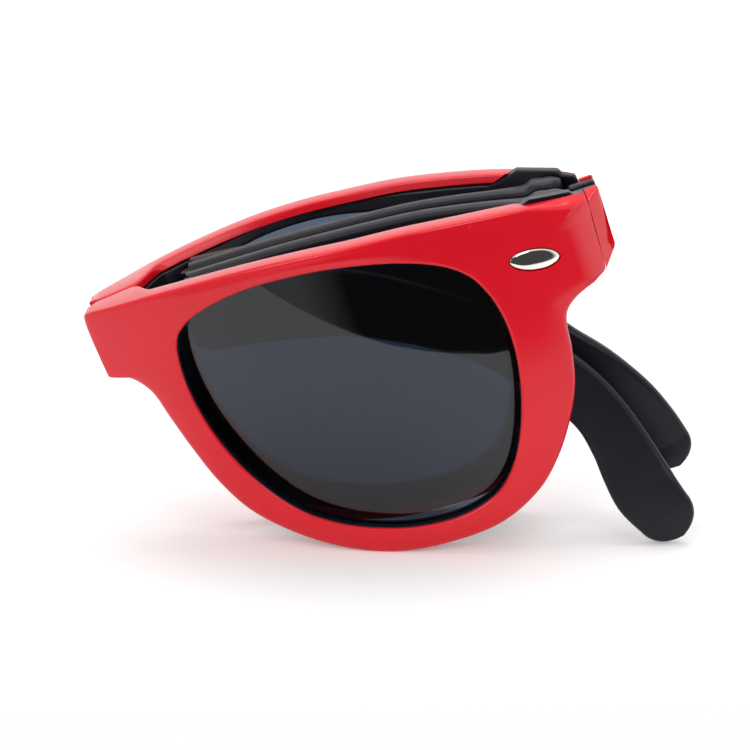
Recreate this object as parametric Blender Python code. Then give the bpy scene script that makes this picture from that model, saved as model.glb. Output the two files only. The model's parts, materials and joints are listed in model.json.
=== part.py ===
"""Folding sunglasses, folded at the bridge as they stand in the photograph.

The left half is modelled in its own upright frame, in millimetres: x runs from the bridge
hinge towards the temple, y runs from the front of the lens towards the face, and z is up
along the bridge hinge. The right half is its mirror image across y = 0. An empty then tips
the whole pair until the rims and the ear tips stand on the floor, z = 0.
"""
import math

import bmesh
import bpy
from mathutils import Matrix, Vector

MM = 0.001

# Clearances
HINGE_GAP = 0.2           # between pieces that turn against each other
PIN_GAP = 0.08
SEAT_GAP = 0.15
LAYER_GAP = 0.2

# How the folded pair stands
TIP_ANGLE = 18.2          # degrees that the temple end is lifted
OPEN_ANGLE = 162.0        # degrees that the bridge hinge opens

# Outline of one half of the front, clockwise from the top of the bridge
FRONT_OUTLINE = [
    (0.4, -0.2), (4.1, 0.2), (10.3, 0.8), (17.8, 1.2), (24.9, 1.3), (31.7, 1.0), (38.4, 0.4),
    (45.0, -0.2), (51.5, -1.2), (58.1, -2.4), (63.4, -3.6), (68.9, -4.9), (69.8, -5.9),
    (69.7, -11.0), (69.6, -16.0), (68.8, -16.9), (65.2, -17.9), (63.0, -19.3), (62.2, -21.6),
    (61.9, -25.0), (60.9, -30.0), (58.9, -34.6), (55.6, -39.6), (51.4, -43.5), (45.2, -46.1),
    (37.5, -46.5), (30.4, -45.7), (23.9, -43.4), (17.7, -39.6), (12.4, -34.7), (9.3, -29.2),
    (7.4, -23.4), (6.0, -17.9), (4.9, -13.5), (2.5, -10.9), (-0.3, -10.4), (-0.9, -9.6),
    (-0.9, -5.0), (-0.5, -1.0)]
# Outline of the lens opening, clockwise from its top left
LENS_OPENING = [
    (11.3, -7.0), (13.5, -4.4), (17.1, -2.7), (22.5, -1.5), (28.2, -1.3), (34.9, -1.9),
    (42.5, -3.7), (48.2, -6.2), (51.6, -9.1), (53.3, -12.4), (54.2, -15.8), (54.5, -19.6),
    (54.2, -24.1), (53.2, -29.1), (51.5, -34.1), (49.2, -38.3), (46.1, -41.3), (41.5, -42.8),
    (35.9, -42.8), (30.1, -41.6), (23.9, -39.1), (18.9, -35.5), (14.9, -30.1), (12.3, -24.4),
    (10.8, -18.4), (10.4, -12.4)]
RIM_CENTRE = (33.0, -14.0)   # point inside the opening that every outline point can be seen from
RIM_STEPS = 56
LENS_STEPS = RIM_STEPS // 2
LENS_RINGS = 3
SQUARE_LEAST = 0.55          # least sine between an outline and its ray that is reckoned with

# Curved front surface of a folded half
BRIDGE_DEPTH = 5.2        # front of the bridge, ahead of the hinge axis
FOLD_ANGLE = 5.37         # degrees from the middle plane to the half's chord
BASE_CURVE = 9.1          # bulge of the front between bridge and temple
CURVE_LENGTH = 66.0
LEAN_ANGLE = 10.0         # degrees that the lower rim leans towards the face

# Layers of the front, measured back from its front surface
SHELL_DEPTH = 2.0
RIM_DEPTH = 4.2
EDGE_ROUND = 0.7
LIP_ROUND = 0.5           # rounding of the shell's edge beside the lens opening
BACK_ROUND = 0.35         # rounding of the layers' back edges
ROUND_SHARE = 0.3         # where a rounding's middle point lies
FACE_CROWN = 0.15
SHELL_WALL = 1.3          # wall that wraps round the back frame
COLLAR_WIDTH = 0.5        # black collar of the back frame that lines the lens opening
LENS_LIP = 0.4            # how far the slot in the back frame reaches past the opening
LENS_FRONT = 2.6
LENS_THICKNESS = 0.9
LENS_SEAT = 0.1
MIDDLE_GAP = 0.2          # from the middle plane to the back of the bridge
NOSE_PAD_START = 6.5      # x where the thick bridge starts to thin out
NOSE_PAD_END = 10.2

# Bridge hinge
BRIDGE_BARREL_RADIUS = 1.2
BRIDGE_PIN_RADIUS = 0.5
BRIDGE_TOP = -1.7
BRIDGE_BOTTOM = -9.0
BRIDGE_KNUCKLES = 5
LEAF_THICKNESS = 0.8
LEAF_BACK = -0.3
LEAF_END = 6.0

# Oval metal inlay near the temple
INLAY_CENTRE = (60.7, -10.4)
INLAY_HALF_LENGTH = 3.42
INLAY_HALF_HEIGHT = 1.46
INLAY_TILT = 18.2
INLAY_SINK = 0.6
INLAY_PROUD = 0.35
INLAY_CHAMFER = 0.3

# Temple hinge
HINGE_X = 65.2
HINGE_Y = -3.9
HINGE_RADIUS = 2.3
HINGE_TOP = -4.6
HINGE_BOTTOM = -16.0
LUG_RADIUS = 2.1
LUG_TOP = -8.4
LUG_BOTTOM = -12.4
HINGE_PIN_RADIUS = 0.7
PIN_HEAD_RADIUS = 1.2
PIN_HEAD_HEIGHT = 0.5
PIN_INSET = 0.1           # how far a pin stays short of the knuckles round it
POCKET_START = 60.8
POCKET_STEPS = 6
POCKET_CLEAR = HINGE_RADIUS + 2.0 * HINGE_GAP
LINING_X = HINGE_X + POCKET_CLEAR
LINING_THICKNESS = 0.3
LUG_ROOT = 0.52           # how far the lug reaches into the back frame, ahead of the pocket
LINING_TOP = -7.0
LINING_BOTTOM = -13.6
FLANGE_TOP = -4.9
FLANGE_BOTTOM = -14.4
END_WALL_BACK = -1.0
CAP_START = 69.95
CAP_END = 71.8
CAP_TOP = -5.0
CAP_BOTTOM = -16.7
CAP_SLANT = 2.3           # how much higher the cap's bottom ends at its outer side
CAP_BACK = -3.1
CAP_ROUND = 0.5

# Folded temple, front section: x, top z, bottom z, outer y and inner y of each station
TEMPLE_FRONT = [
    (14.7, 0.5, -10.2, -1.2, -4.0), (22.0, 0.4, -10.7, -1.25, -4.05),
    (31.0, 0.1, -11.4, -1.3, -4.1), (45.0, -0.8, -12.6, -1.45, -4.25),
    (52.0, -1.8, -13.6, -1.55, -4.35), (58.0, -3.1, -15.0, -1.65, -4.6),
    (62.0, -4.1, -15.8, -1.6, -5.9)]
# Folded temple, rear section: x and z of the centre line, half width, middle y, thickness
TEMPLE_REAR = [
    (14.7, -4.9, 5.2, -5.7, 2.8), (25.0, -6.6, 5.1, -5.75, 2.8), (35.0, -9.6, 4.8, -5.85, 2.8),
    (43.5, -14.2, 4.3, -5.9, 2.8), (51.0, -20.2, 4.1, -5.2, 2.8), (57.0, -27.2, 4.2, -2.6, 2.7),
    (61.7, -34.4, 4.4, -2.1, 2.5), (64.4, -40.0, 4.6, -3.2, 2.5), (66.3, -46.0, 4.7, -5.0, 2.5),
    (67.6, -51.5, 4.4, -6.8, 2.5), (68.3, -53.6, 4.2, -7.4, 2.4)]
RIGHT_TIP_LIFT = 3.15     # degrees by which the right rear section rests higher than the left one
TEMPLE_CORNER = 0.9
TEMPLE_FRONT_STEPS = 17
TEMPLE_REAR_STEPS = 22
END_TURNS = (24, 46, 66, 82)   # degrees round a rounded end at which it has sections
CORNER_SHARE = 0.8        # largest corner rounding, as a share of a section's half height
TIP_THINNING = 0.35       # share of its thickness that an ear tip loses at its very end
FORK_STEM = 1.6           # length before the hinge axis along which the fork keeps its height
FORK_RISE = 0.3
MID_X = 14.5
MID_Y = -4.15
MID_RADIUS = 1.5
MID_PIN_RADIUS = 0.6
MID_TOP = -0.9
MID_BOTTOM = -9.4
MID_KNUCKLES = 3

ROUND_STEPS = 18
WELD = 0.002              # distance at which a Boolean's stray points are joined
FRAME_WELD = 0.02         # the same for the swept layers, whose Booleans leave longer slivers
REACH = 30.0              # length by which a cutter overruns the piece it cuts

RED = (0.66, 0.006, 0.018)
BLACK = (0.012, 0.012, 0.014)
SMOKE = (0.05, 0.05, 0.06)
METAL = (0.78, 0.78, 0.80)


def clear_scene():
    """Removes every object that the file starts with."""
    for obj in list(bpy.data.objects):
        bpy.data.objects.remove(obj, do_unlink=True)


def material(name, colour, roughness, metallic):
    """Returns a Principled material with the given colour, roughness and metallic value."""
    found = bpy.data.materials.new(name)
    found.use_nodes = True
    shader = found.node_tree.nodes["Principled BSDF"]
    shader.inputs["Base Color"].default_value = (*colour, 1.0)
    shader.inputs["Roughness"].default_value = roughness
    shader.inputs["Metallic"].default_value = metallic
    found.diffuse_color = (*colour, 1.0)
    return found


def smooth_step(start, end, value):
    """Returns 0 before start, 1 after end and an even blend between them."""
    share = min(max((value - start) / (end - start), 0.0), 1.0)
    return share * share * (3.0 - 2.0 * share)


def blend(a, b, share):
    """Returns the value that lies the given share of the way from a to b."""
    return a + (b - a) * share


def smooth_curve(points, count, closed):
    """Samples a Catmull-Rom curve through the points at an even parameter step."""
    last = len(points) if closed else len(points) - 1
    samples = []
    for i in range(count):
        at = last * i / (count if closed else count - 1)
        base = min(int(at), last - 1)
        t = at - base
        if closed:
            p0, p1, p2, p3 = (points[(base + k - 1) % len(points)] for k in range(4))
        else:
            p0, p1, p2, p3 = (points[min(max(base + k - 1, 0), last)] for k in range(4))
        samples.append(tuple(
            0.5 * (2 * b + (c - a) * t + (2 * a - 5 * b + 4 * c - d) * t * t
                   + (3 * b - a - 3 * c + d) * t * t * t)
            for a, b, c, d in zip(p0, p1, p2, p3)))
    return samples


def outline_at_angles(points, angles):
    """Returns where rays from RIM_CENTRE at the given angles cross a closed outline."""
    fine = smooth_curve(points, 12 * len(points), closed=True)
    found = []
    for angle in angles:
        ray = Vector((math.cos(angle), math.sin(angle)))
        side = Vector((-ray.y, ray.x))
        best = None
        for a, b in zip(fine, fine[1:] + fine[:1]):
            pa = Vector(a) - Vector(RIM_CENTRE)
            pb = Vector(b) - Vector(RIM_CENTRE)
            da = pa.dot(side)
            db = pb.dot(side)
            if da * db > 0.0 or da == db:
                continue
            hit = pa.lerp(pb, da / (da - db))
            reach = hit.dot(ray)
            if reach > 0.0 and (best is None or reach > best):
                best = reach
        found.append(Vector(RIM_CENTRE) + ray * best)
    return found


def ray_angles(count):
    """Returns ray angles whose outline points are evenly spaced along the outer outline."""
    fine = smooth_curve(FRONT_OUTLINE, 12 * len(FRONT_OUTLINE), closed=True)
    lengths = [0.0]
    for a, b in zip(fine, fine[1:] + fine[:1]):
        lengths.append(lengths[-1] + math.dist(a, b))
    angles = []
    for k in range(count):
        want = lengths[-1] * k / count
        i = max(j for j in range(len(fine)) if lengths[j] <= want)
        share = (want - lengths[i]) / (lengths[i + 1] - lengths[i])
        a = fine[i]
        b = fine[(i + 1) % len(fine)]
        x = blend(a[0], b[0], share) - RIM_CENTRE[0]
        z = blend(a[1], b[1], share) - RIM_CENTRE[1]
        angles.append(math.atan2(z, x))
    return angles


def front_surface(x, z):
    """Returns y of the front surface of the left half at x and z."""
    share = x / CURVE_LENGTH
    bulge = 4.0 * BASE_CURVE * share * (1.0 - share)
    chord = BRIDGE_DEPTH + x * math.tan(math.radians(FOLD_ANGLE))
    return -(chord + bulge + z * math.tan(math.radians(LEAN_ANGLE)))


def depth_point(x, z, depth):
    """Returns the point that lies the given depth behind the front surface."""
    front = front_surface(x, z)
    shrink = min(1.0, (-MIDDLE_GAP - front) / RIM_DEPTH)
    back = blend(-MIDDLE_GAP, front + RIM_DEPTH * shrink, smooth_step(NOSE_PAD_START, NOSE_PAD_END, x))
    split = SHELL_DEPTH + LAYER_GAP
    if depth <= split:
        return Vector((x, front + depth * shrink, z))
    layer = front + split * shrink
    return Vector((x, blend(layer, back, (depth - split) / (RIM_DEPTH - split)), z))


def new_object(name, mesh, parent, look, smooth_angle=35.0):
    """Makes an object in millimetres of the half's frame, with its origin on its parent."""
    obj = bpy.data.objects.new(name, mesh)
    bpy.context.scene.collection.objects.link(obj)
    if parent is not None:
        mesh.transform(Matrix.Translation(-Vector(parent["origin_mm"])))
        obj.parent = parent
    mesh.transform(Matrix.Scale(MM, 4))
    mesh.materials.append(look)
    mesh.shade_smooth()
    mesh.set_sharp_from_angle(angle=math.radians(smooth_angle))
    return obj


def mesh_from(vertices, faces):
    """Makes a mesh with outward normals from vertices and faces."""
    mesh = bpy.data.meshes.new("solid")
    mesh.from_pydata([tuple(v) for v in vertices], [], faces)
    shape = bmesh.new()
    shape.from_mesh(mesh)
    bmesh.ops.recalc_face_normals(shape, faces=shape.faces)
    shape.to_mesh(mesh)
    shape.free()
    return mesh


def loft(sections, ring):
    """Skins closed sections with quads, as a ring or as a bar with flat ends."""
    count = len(sections)
    size = len(sections[0])
    vertices = [point for section in sections for point in section]
    faces = []
    for i in range(count if ring else count - 1):
        j = (i + 1) % count
        for k in range(size):
            m = (k + 1) % size
            faces.append((i * size + k, i * size + m, j * size + m, j * size + k))
    if not ring:
        faces.append(tuple(range(size)))
        faces.append(tuple(range((count - 1) * size, count * size)))
    return mesh_from(vertices, faces)


def box(low, high):
    """Makes a box mesh between two corners."""
    shape = bmesh.new()
    bmesh.ops.create_cube(shape, size=1.0)
    size = Vector(high) - Vector(low)
    middle = (Vector(high) + Vector(low)) / 2.0
    fit = Matrix.Translation(middle) @ Matrix.Diagonal((*size, 1.0))
    bmesh.ops.transform(shape, verts=shape.verts, matrix=fit)
    mesh = bpy.data.meshes.new("box")
    shape.to_mesh(mesh)
    shape.free()
    return mesh


def post(x, y, radius, bottom, top, steps=ROUND_STEPS):
    """Makes an upright cylinder mesh."""
    shape = bmesh.new()
    bmesh.ops.create_cone(
        shape, cap_ends=True, segments=steps, radius1=radius, radius2=radius, depth=top - bottom,
        matrix=Matrix.Translation((x, y, (top + bottom) / 2.0)))
    mesh = bpy.data.meshes.new("post")
    shape.to_mesh(mesh)
    shape.free()
    return mesh


def combine(mesh, steps, weld=WELD):
    """Applies Boolean steps, each a pair of operation and tool mesh, and returns the result."""
    body = bpy.data.objects.new("body", mesh)
    bpy.context.scene.collection.objects.link(body)
    tools = []
    for operation, tool_mesh in steps:
        tool = bpy.data.objects.new("tool", tool_mesh)
        bpy.context.scene.collection.objects.link(tool)
        change = body.modifiers.new(operation, "BOOLEAN")
        change.operation = operation
        change.solver = "EXACT"
        change.object = tool
        tools.append(tool)
    bpy.context.view_layer.update()
    depsgraph = bpy.context.evaluated_depsgraph_get()
    result = bpy.data.meshes.new_from_object(body.evaluated_get(depsgraph))
    shape = bmesh.new()
    shape.from_mesh(result)
    bmesh.ops.remove_doubles(shape, verts=shape.verts, dist=weld)
    bmesh.ops.dissolve_degenerate(shape, edges=shape.edges, dist=weld)
    shape.to_mesh(result)
    shape.free()
    for obj in [body] + tools:
        bpy.data.objects.remove(obj, do_unlink=True)
    return result


def mirrored(mesh):
    """Returns a copy of a mesh, mirrored across the middle plane between the halves."""
    copy = mesh.copy()
    copy.transform(Matrix.Scale(-1.0, 4, (0.0, 1.0, 0.0)))
    copy.flip_normals()
    return copy


class Rim:
    """Matched outer and inner outline points, and distances measured across the rim."""

    def __init__(self, count):
        angles = ray_angles(count)
        self.count = count
        self.outer = outline_at_angles(FRONT_OUTLINE, angles)
        self.inner = outline_at_angles(LENS_OPENING, angles)

    def square(self, line, i):
        """Returns the sine between an outline and its ray, kept away from zero."""
        along = (line[(i + 1) % self.count] - line[i - 1]).normalized()
        ray = (self.outer[i] - self.inner[i]).normalized()
        return max(abs(along.x * ray.y - along.y * ray.x), SQUARE_LEAST)

    def from_outer(self, i, distance):
        """Returns the point at a distance inside the outer outline."""
        ray = (self.inner[i] - self.outer[i]).normalized()
        return self.outer[i] + ray * distance / self.square(self.outer, i)

    def from_inner(self, i, distance):
        """Returns the point at a distance outside the lens opening."""
        ray = (self.outer[i] - self.inner[i]).normalized()
        return self.inner[i] + ray * distance / self.square(self.inner, i)

    def sweep(self, profile):
        """Sweeps a profile of (side, distance, depth) points round the rim."""
        sections = []
        for i in range(self.count):
            section = []
            for side, distance, depth in profile:
                if side == "outer":
                    spot = self.from_outer(i, distance)
                elif side == "inner":
                    spot = self.from_inner(i, distance)
                else:
                    spot = (self.from_outer(i, distance) + self.from_inner(i, distance)) / 2.0
                section.append(depth_point(spot.x, spot.y, depth))
            sections.append(section)
        return loft(sections, ring=True)


def butt_cutter():
    """Makes the block beyond the plane where the two halves meet when the front is open."""
    cutter = box((-REACH, -REACH, -REACH), (SEAT_GAP / 2.0, REACH, REACH))
    turn = math.radians(OPEN_ANGLE / 2.0 - 90.0)
    cutter.transform(Matrix.Rotation(turn, 4, "Z"))
    return cutter


def bridge_channel():
    """Makes the round channel that keeps the bridge barrel clear."""
    return post(0.0, 0.0, BRIDGE_BARREL_RADIUS + HINGE_GAP, -REACH, REACH)


def leaf_seat():
    """Makes the recess that a leaf of the bridge hinge lies in."""
    return box((-REACH, LEAF_BACK - LEAF_THICKNESS - SEAT_GAP, BRIDGE_BOTTOM - SEAT_GAP),
               (LEAF_END + SEAT_GAP, REACH, BRIDGE_TOP + SEAT_GAP))


def hinge_pocket():
    """Makes the pocket behind the end piece where the folded temple's hinge end lies."""
    outline = [(POCKET_START, REACH), (POCKET_START, HINGE_Y - POCKET_CLEAR)]
    for step in range(POCKET_STEPS + 1):
        angle = math.radians(-90.0 + 90.0 * step / POCKET_STEPS)
        outline.append((HINGE_X + POCKET_CLEAR * math.cos(angle), HINGE_Y + POCKET_CLEAR * math.sin(angle)))
    outline.append((LINING_X, REACH))
    bottom = HINGE_BOTTOM - 2.0 * HINGE_GAP
    return loft([[Vector((x, y, z)) for x, y in outline] for z in (bottom, REACH)], ring=False)


def oval_mesh(grow, front, back, steps=32):
    """Makes an oval plug that follows the front surface, between two depths."""
    tilt = math.radians(INLAY_TILT)
    loops = []
    for depth in (front, back):
        loop = []
        for k in range(steps):
            angle = 2.0 * math.pi * k / steps
            u = (INLAY_HALF_LENGTH + grow) * math.cos(angle)
            v = (INLAY_HALF_HEIGHT + grow) * math.sin(angle)
            x = INLAY_CENTRE[0] + u * math.cos(tilt) + v * math.sin(tilt)
            z = INLAY_CENTRE[1] - u * math.sin(tilt) + v * math.cos(tilt)
            loop.append(Vector((x, front_surface(x, z) + depth, z)))
        loops.append(loop)
    return loft(loops, ring=False)


def front_shell(rim):
    """The coloured front layer, with the wall that wraps round the back frame."""
    ledge = COLLAR_WIDTH + SEAT_GAP
    profile = [
        ("outer", 0.0, EDGE_ROUND), ("outer", EDGE_ROUND * ROUND_SHARE, EDGE_ROUND * ROUND_SHARE),
        ("outer", EDGE_ROUND, 0.0), ("middle", EDGE_ROUND, -FACE_CROWN),
        ("inner", LIP_ROUND, 0.0), ("inner", LIP_ROUND * ROUND_SHARE, LIP_ROUND * ROUND_SHARE),
        ("inner", 0.0, LIP_ROUND), ("inner", ledge, LIP_ROUND), ("inner", ledge, SHELL_DEPTH),
        ("middle", 0.0, SHELL_DEPTH), ("outer", SHELL_WALL, SHELL_DEPTH), ("outer", SHELL_WALL, RIM_DEPTH),
        ("outer", BACK_ROUND, RIM_DEPTH), ("outer", 0.0, RIM_DEPTH - BACK_ROUND)]
    recess = oval_mesh(SEAT_GAP, -REACH, INLAY_SINK + SEAT_GAP)
    return combine(rim.sweep(profile), [
        ("DIFFERENCE", recess), ("DIFFERENCE", hinge_pocket()), ("DIFFERENCE", leaf_seat()),
        ("DIFFERENCE", bridge_channel()), ("DIFFERENCE", butt_cutter())], FRAME_WELD)


def hinge_lug():
    """The tongue of the back frame that the temple's fork turns round."""
    root = HINGE_Y - HINGE_RADIUS - LUG_ROOT
    block = box((HINGE_X - LUG_RADIUS, root, LUG_BOTTOM), (HINGE_X + LUG_RADIUS / 2.0, HINGE_Y, LUG_TOP))
    return combine(post(HINGE_X, HINGE_Y, LUG_RADIUS, LUG_BOTTOM, LUG_TOP), [("UNION", block)])


def end_lining():
    """The black wall beside the hinge, and the flange behind the end cap."""
    wall_front = front_surface(LINING_X, HINGE_BOTTOM) + SHELL_DEPTH + 2.0 * LAYER_GAP
    start = LINING_X + SEAT_GAP / 3.0
    wall = box((start, wall_front, LINING_BOTTOM), (LINING_X + LINING_THICKNESS, END_WALL_BACK, LINING_TOP))
    flange = box((start, CAP_BACK + HINGE_GAP, FLANGE_BOTTOM), (CAP_END, END_WALL_BACK, FLANGE_TOP))
    return combine(wall, [("UNION", flange)])


def back_frame(rim):
    """The black inner layer: it holds the lens, the bridge leaf and the temple hinge lug."""
    front = SHELL_DEPTH + LAYER_GAP
    collar_front = LIP_ROUND + SEAT_GAP
    slot_front = LENS_FRONT - LENS_SEAT
    slot_back = LENS_FRONT + LENS_THICKNESS + LENS_SEAT
    wall = SHELL_WALL + LAYER_GAP
    profile = [
        ("outer", wall, front), ("middle", 0.0, front), ("inner", COLLAR_WIDTH, front),
        ("inner", COLLAR_WIDTH, collar_front),
        ("inner", 0.0, collar_front), ("inner", 0.0, slot_front), ("inner", LENS_LIP, slot_front),
        ("inner", LENS_LIP, slot_back), ("inner", 0.0, slot_back), ("inner", 0.0, RIM_DEPTH - BACK_ROUND),
        ("inner", BACK_ROUND, RIM_DEPTH), ("outer", wall + BACK_ROUND, RIM_DEPTH),
        ("outer", wall, RIM_DEPTH - BACK_ROUND)]
    pin_hole = post(HINGE_X, HINGE_Y, HINGE_PIN_RADIUS + PIN_GAP, -REACH, REACH)
    return combine(rim.sweep(profile), [
        ("DIFFERENCE", hinge_pocket()), ("UNION", end_lining()), ("UNION", hinge_lug()),
        ("DIFFERENCE", pin_hole), ("DIFFERENCE", leaf_seat()), ("DIFFERENCE", bridge_channel()),
        ("DIFFERENCE", butt_cutter())], FRAME_WELD)


def lens(rim):
    """The curved lens, held in the slot between shell and back frame."""
    edge = [rim.from_inner(i, LENS_LIP - LENS_SEAT) for i in range(rim.count)]
    centre = Vector(RIM_CENTRE)
    vertices = []
    faces = []
    for depth in (LENS_FRONT, LENS_FRONT + LENS_THICKNESS):
        for ring in range(LENS_RINGS):
            for spot in edge:
                near = spot.lerp(centre, ring / LENS_RINGS)
                vertices.append(depth_point(near.x, near.y, depth))
        vertices.append(depth_point(centre.x, centre.y, depth))
    count = rim.count
    side = LENS_RINGS * count + 1
    for base in (0, side):
        for ring in range(LENS_RINGS - 1):
            for k in range(count):
                m = (k + 1) % count
                a = base + ring * count
                faces.append((a + k, a + m, a + count + m, a + count + k))
        last = base + (LENS_RINGS - 1) * count
        for k in range(count):
            faces.append((last + k, last + (k + 1) % count, base + side - 1))
    for k in range(count):
        m = (k + 1) % count
        faces.append((k, m, side + m, side + k))
    return mesh_from(vertices, faces)


def inlay():
    """The oval metal inlay, domed by a chamfer."""
    mesh = oval_mesh(0.0, -INLAY_PROUD, INLAY_SINK)
    shape = bmesh.new()
    shape.from_mesh(mesh)
    front = max(shape.faces, key=lambda face: len(face.verts) * 1000.0 - face.calc_center_median().y)
    bmesh.ops.bevel(shape, geom=list(front.edges), offset=INLAY_CHAMFER, segments=2,
                    affect="EDGES", profile=0.6)
    shape.to_mesh(mesh)
    shape.free()
    return mesh


def end_cap():
    """The coloured block that closes the end of the front, ahead of the black flange."""
    corners = []
    for x, bottom in ((CAP_START, CAP_BOTTOM), (CAP_END, CAP_BOTTOM + CAP_SLANT)):
        for z in (bottom, CAP_TOP):
            corners.append((x, front_surface(CAP_START, z), z))
            corners.append((x, CAP_BACK, z))
    faces = [(0, 1, 3, 2), (4, 6, 7, 5), (0, 4, 5, 1), (2, 3, 7, 6), (0, 2, 6, 4), (1, 5, 7, 3)]
    mesh = mesh_from(corners, faces)
    shape = bmesh.new()
    shape.from_mesh(mesh)
    outer = (CAP_START + CAP_END) / 2.0
    round_edges = [edge for edge in shape.edges if max(v.co.x for v in edge.verts) > outer]
    bmesh.ops.bevel(shape, geom=round_edges, offset=CAP_ROUND, segments=3, affect="EDGES", profile=0.5)
    shape.to_mesh(mesh)
    shape.free()
    return mesh


def rounded_section(centre, up, across, half_height, half_width, corner):
    """Returns a section with rounded corners, in the plane of the two given directions."""
    points = []
    for sign_u, sign_v, start in ((1, 1, 0), (-1, 1, 90), (-1, -1, 180), (1, -1, 270)):
        for step in range(3):
            angle = math.radians(start + 45.0 * step)
            u = sign_u * (half_width - corner) + corner * math.cos(angle)
            v = sign_v * (half_height - corner) + corner * math.sin(angle)
            points.append(centre + across * u + up * v)
    return points


def knuckle_spans(bottom, top, count, own):
    """Returns the z spans of the own knuckles of a hinge, each short of its neighbour."""
    step = (top - bottom) / count
    spans = []
    for k in range(count):
        if (k % 2 == 0) == own:
            low = bottom + k * step + (HINGE_GAP / 2.0 if k else 0.0)
            high = bottom + (k + 1) * step - (HINGE_GAP / 2.0 if k < count - 1 else 0.0)
            spans.append((low, high))
    return spans


def temple_front():
    """The front section of the temple, with the fork of its hinge and two outer knuckles."""
    sections = []
    corner = TEMPLE_CORNER
    hinge_end = [(HINGE_X - reach, HINGE_TOP + rise, HINGE_BOTTOM,
                  HINGE_Y + HINGE_RADIUS, HINGE_Y - HINGE_RADIUS)
                 for reach, rise in ((FORK_STEM, FORK_RISE), (0.0, 0.0))]
    stations = smooth_curve(TEMPLE_FRONT + hinge_end, TEMPLE_FRONT_STEPS, closed=False)
    for x, top, bottom, outer, inner in stations:
        centre = Vector((x, (outer + inner) / 2.0, (top + bottom) / 2.0))
        sections.append(rounded_section(centre, Vector((0, 0, 1)), Vector((0, 1, 0)),
                                        (top - bottom) / 2.0, (outer - inner) / 2.0, corner))
    for degrees in END_TURNS:
        angle = math.radians(degrees)
        half = HINGE_RADIUS * math.cos(angle)
        centre = Vector((HINGE_X + HINGE_RADIUS * math.sin(angle), HINGE_Y, (HINGE_TOP + HINGE_BOTTOM) / 2.0))
        sections.append(rounded_section(centre, Vector((0, 0, 1)), Vector((0, 1, 0)),
                                        (HINGE_TOP - HINGE_BOTTOM) / 2.0, half,
                                        min(corner, half * CORNER_SHARE)))
    slot = box((HINGE_X - LUG_RADIUS - 2.0 * HINGE_GAP, -REACH, LUG_BOTTOM - HINGE_GAP),
               (HINGE_X + REACH, REACH, LUG_TOP + HINGE_GAP))
    steps = [("UNION", post(MID_X, MID_Y, MID_RADIUS, low, high))
             for low, high in knuckle_spans(MID_BOTTOM, MID_TOP, MID_KNUCKLES, own=True)]
    steps += [("DIFFERENCE", post(MID_X, MID_Y, MID_RADIUS + HINGE_GAP, low - HINGE_GAP, high + HINGE_GAP))
              for low, high in knuckle_spans(MID_BOTTOM, MID_TOP, MID_KNUCKLES, own=False)]
    steps.append(("DIFFERENCE", post(MID_X, MID_Y, MID_PIN_RADIUS + PIN_GAP, -REACH, REACH)))
    steps.append(("DIFFERENCE", slot))
    steps.append(("DIFFERENCE", post(HINGE_X, HINGE_Y, HINGE_PIN_RADIUS + PIN_GAP, -REACH, REACH)))
    head = post(HINGE_X, HINGE_Y, PIN_HEAD_RADIUS + SEAT_GAP, HINGE_TOP - PIN_HEAD_HEIGHT - SEAT_GAP, REACH)
    steps.append(("DIFFERENCE", head))
    return combine(loft(sections, ring=False), steps)


def temple_rear(lift):
    """The rear section of the temple, folded in behind the lens, lifted by the given degrees."""
    turn = math.radians(lift)
    centre_z = (MID_TOP + MID_BOTTOM) / 2.0
    lifted = []
    for x, z, half, middle, thickness in TEMPLE_REAR:
        ahead = x - MID_X
        above = z - centre_z
        lifted.append((MID_X + ahead * math.cos(turn) - above * math.sin(turn),
                       centre_z + ahead * math.sin(turn) + above * math.cos(turn), half, middle, thickness))
    stations = smooth_curve(lifted, TEMPLE_REAR_STEPS, closed=False)
    last = stations[-1]
    before = stations[-2]
    along = Vector((last[0] - before[0], last[1] - before[1])).normalized()
    for degrees in END_TURNS:
        angle = math.radians(degrees)
        reach = last[2] * math.sin(angle)
        stations.append((last[0] + along.x * reach, last[1] + along.y * reach,
                         last[2] * math.cos(angle), last[3],
                         last[4] * (1.0 - TIP_THINNING * math.sin(angle))))
    sections = []
    for i, (x, z, half, middle, thickness) in enumerate(stations):
        ahead = stations[min(i + 1, len(stations) - 1)]
        behind = stations[max(i - 1, 0)]
        along = Vector((ahead[0] - behind[0], 0.0, ahead[1] - behind[1])).normalized()
        if i == 0:
            along = Vector((1.0, 0.0, 0.0))
        up = Vector((-along.z, 0.0, along.x))
        corner = min(TEMPLE_CORNER, half * CORNER_SHARE)
        sections.append(rounded_section(Vector((x, middle, z)), up, Vector((0, 1, 0)), half,
                                        thickness / 2.0, corner))
    steps = [("UNION", post(MID_X, MID_Y, MID_RADIUS, low, high))
             for low, high in knuckle_spans(MID_BOTTOM, MID_TOP, MID_KNUCKLES, own=False)]
    steps += [("DIFFERENCE", post(MID_X, MID_Y, MID_RADIUS + HINGE_GAP, low - HINGE_GAP, high + HINGE_GAP))
              for low, high in knuckle_spans(MID_BOTTOM, MID_TOP, MID_KNUCKLES, own=True)]
    steps.append(("DIFFERENCE", post(MID_X, MID_Y, MID_PIN_RADIUS + PIN_GAP, -REACH, REACH)))
    return combine(loft(sections, ring=False), steps)


def temple_pin():
    """The hinge screw: a smooth pin with a flat head sunk in the temple's top fork arm."""
    shaft = post(HINGE_X, HINGE_Y, HINGE_PIN_RADIUS, HINGE_BOTTOM + PIN_INSET,
                 HINGE_TOP - PIN_HEAD_HEIGHT / 2.0)
    head = post(HINGE_X, HINGE_Y, PIN_HEAD_RADIUS, HINGE_TOP - PIN_HEAD_HEIGHT, HINGE_TOP - PIN_INSET / 2.0)
    return combine(shaft, [("UNION", head)])


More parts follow.
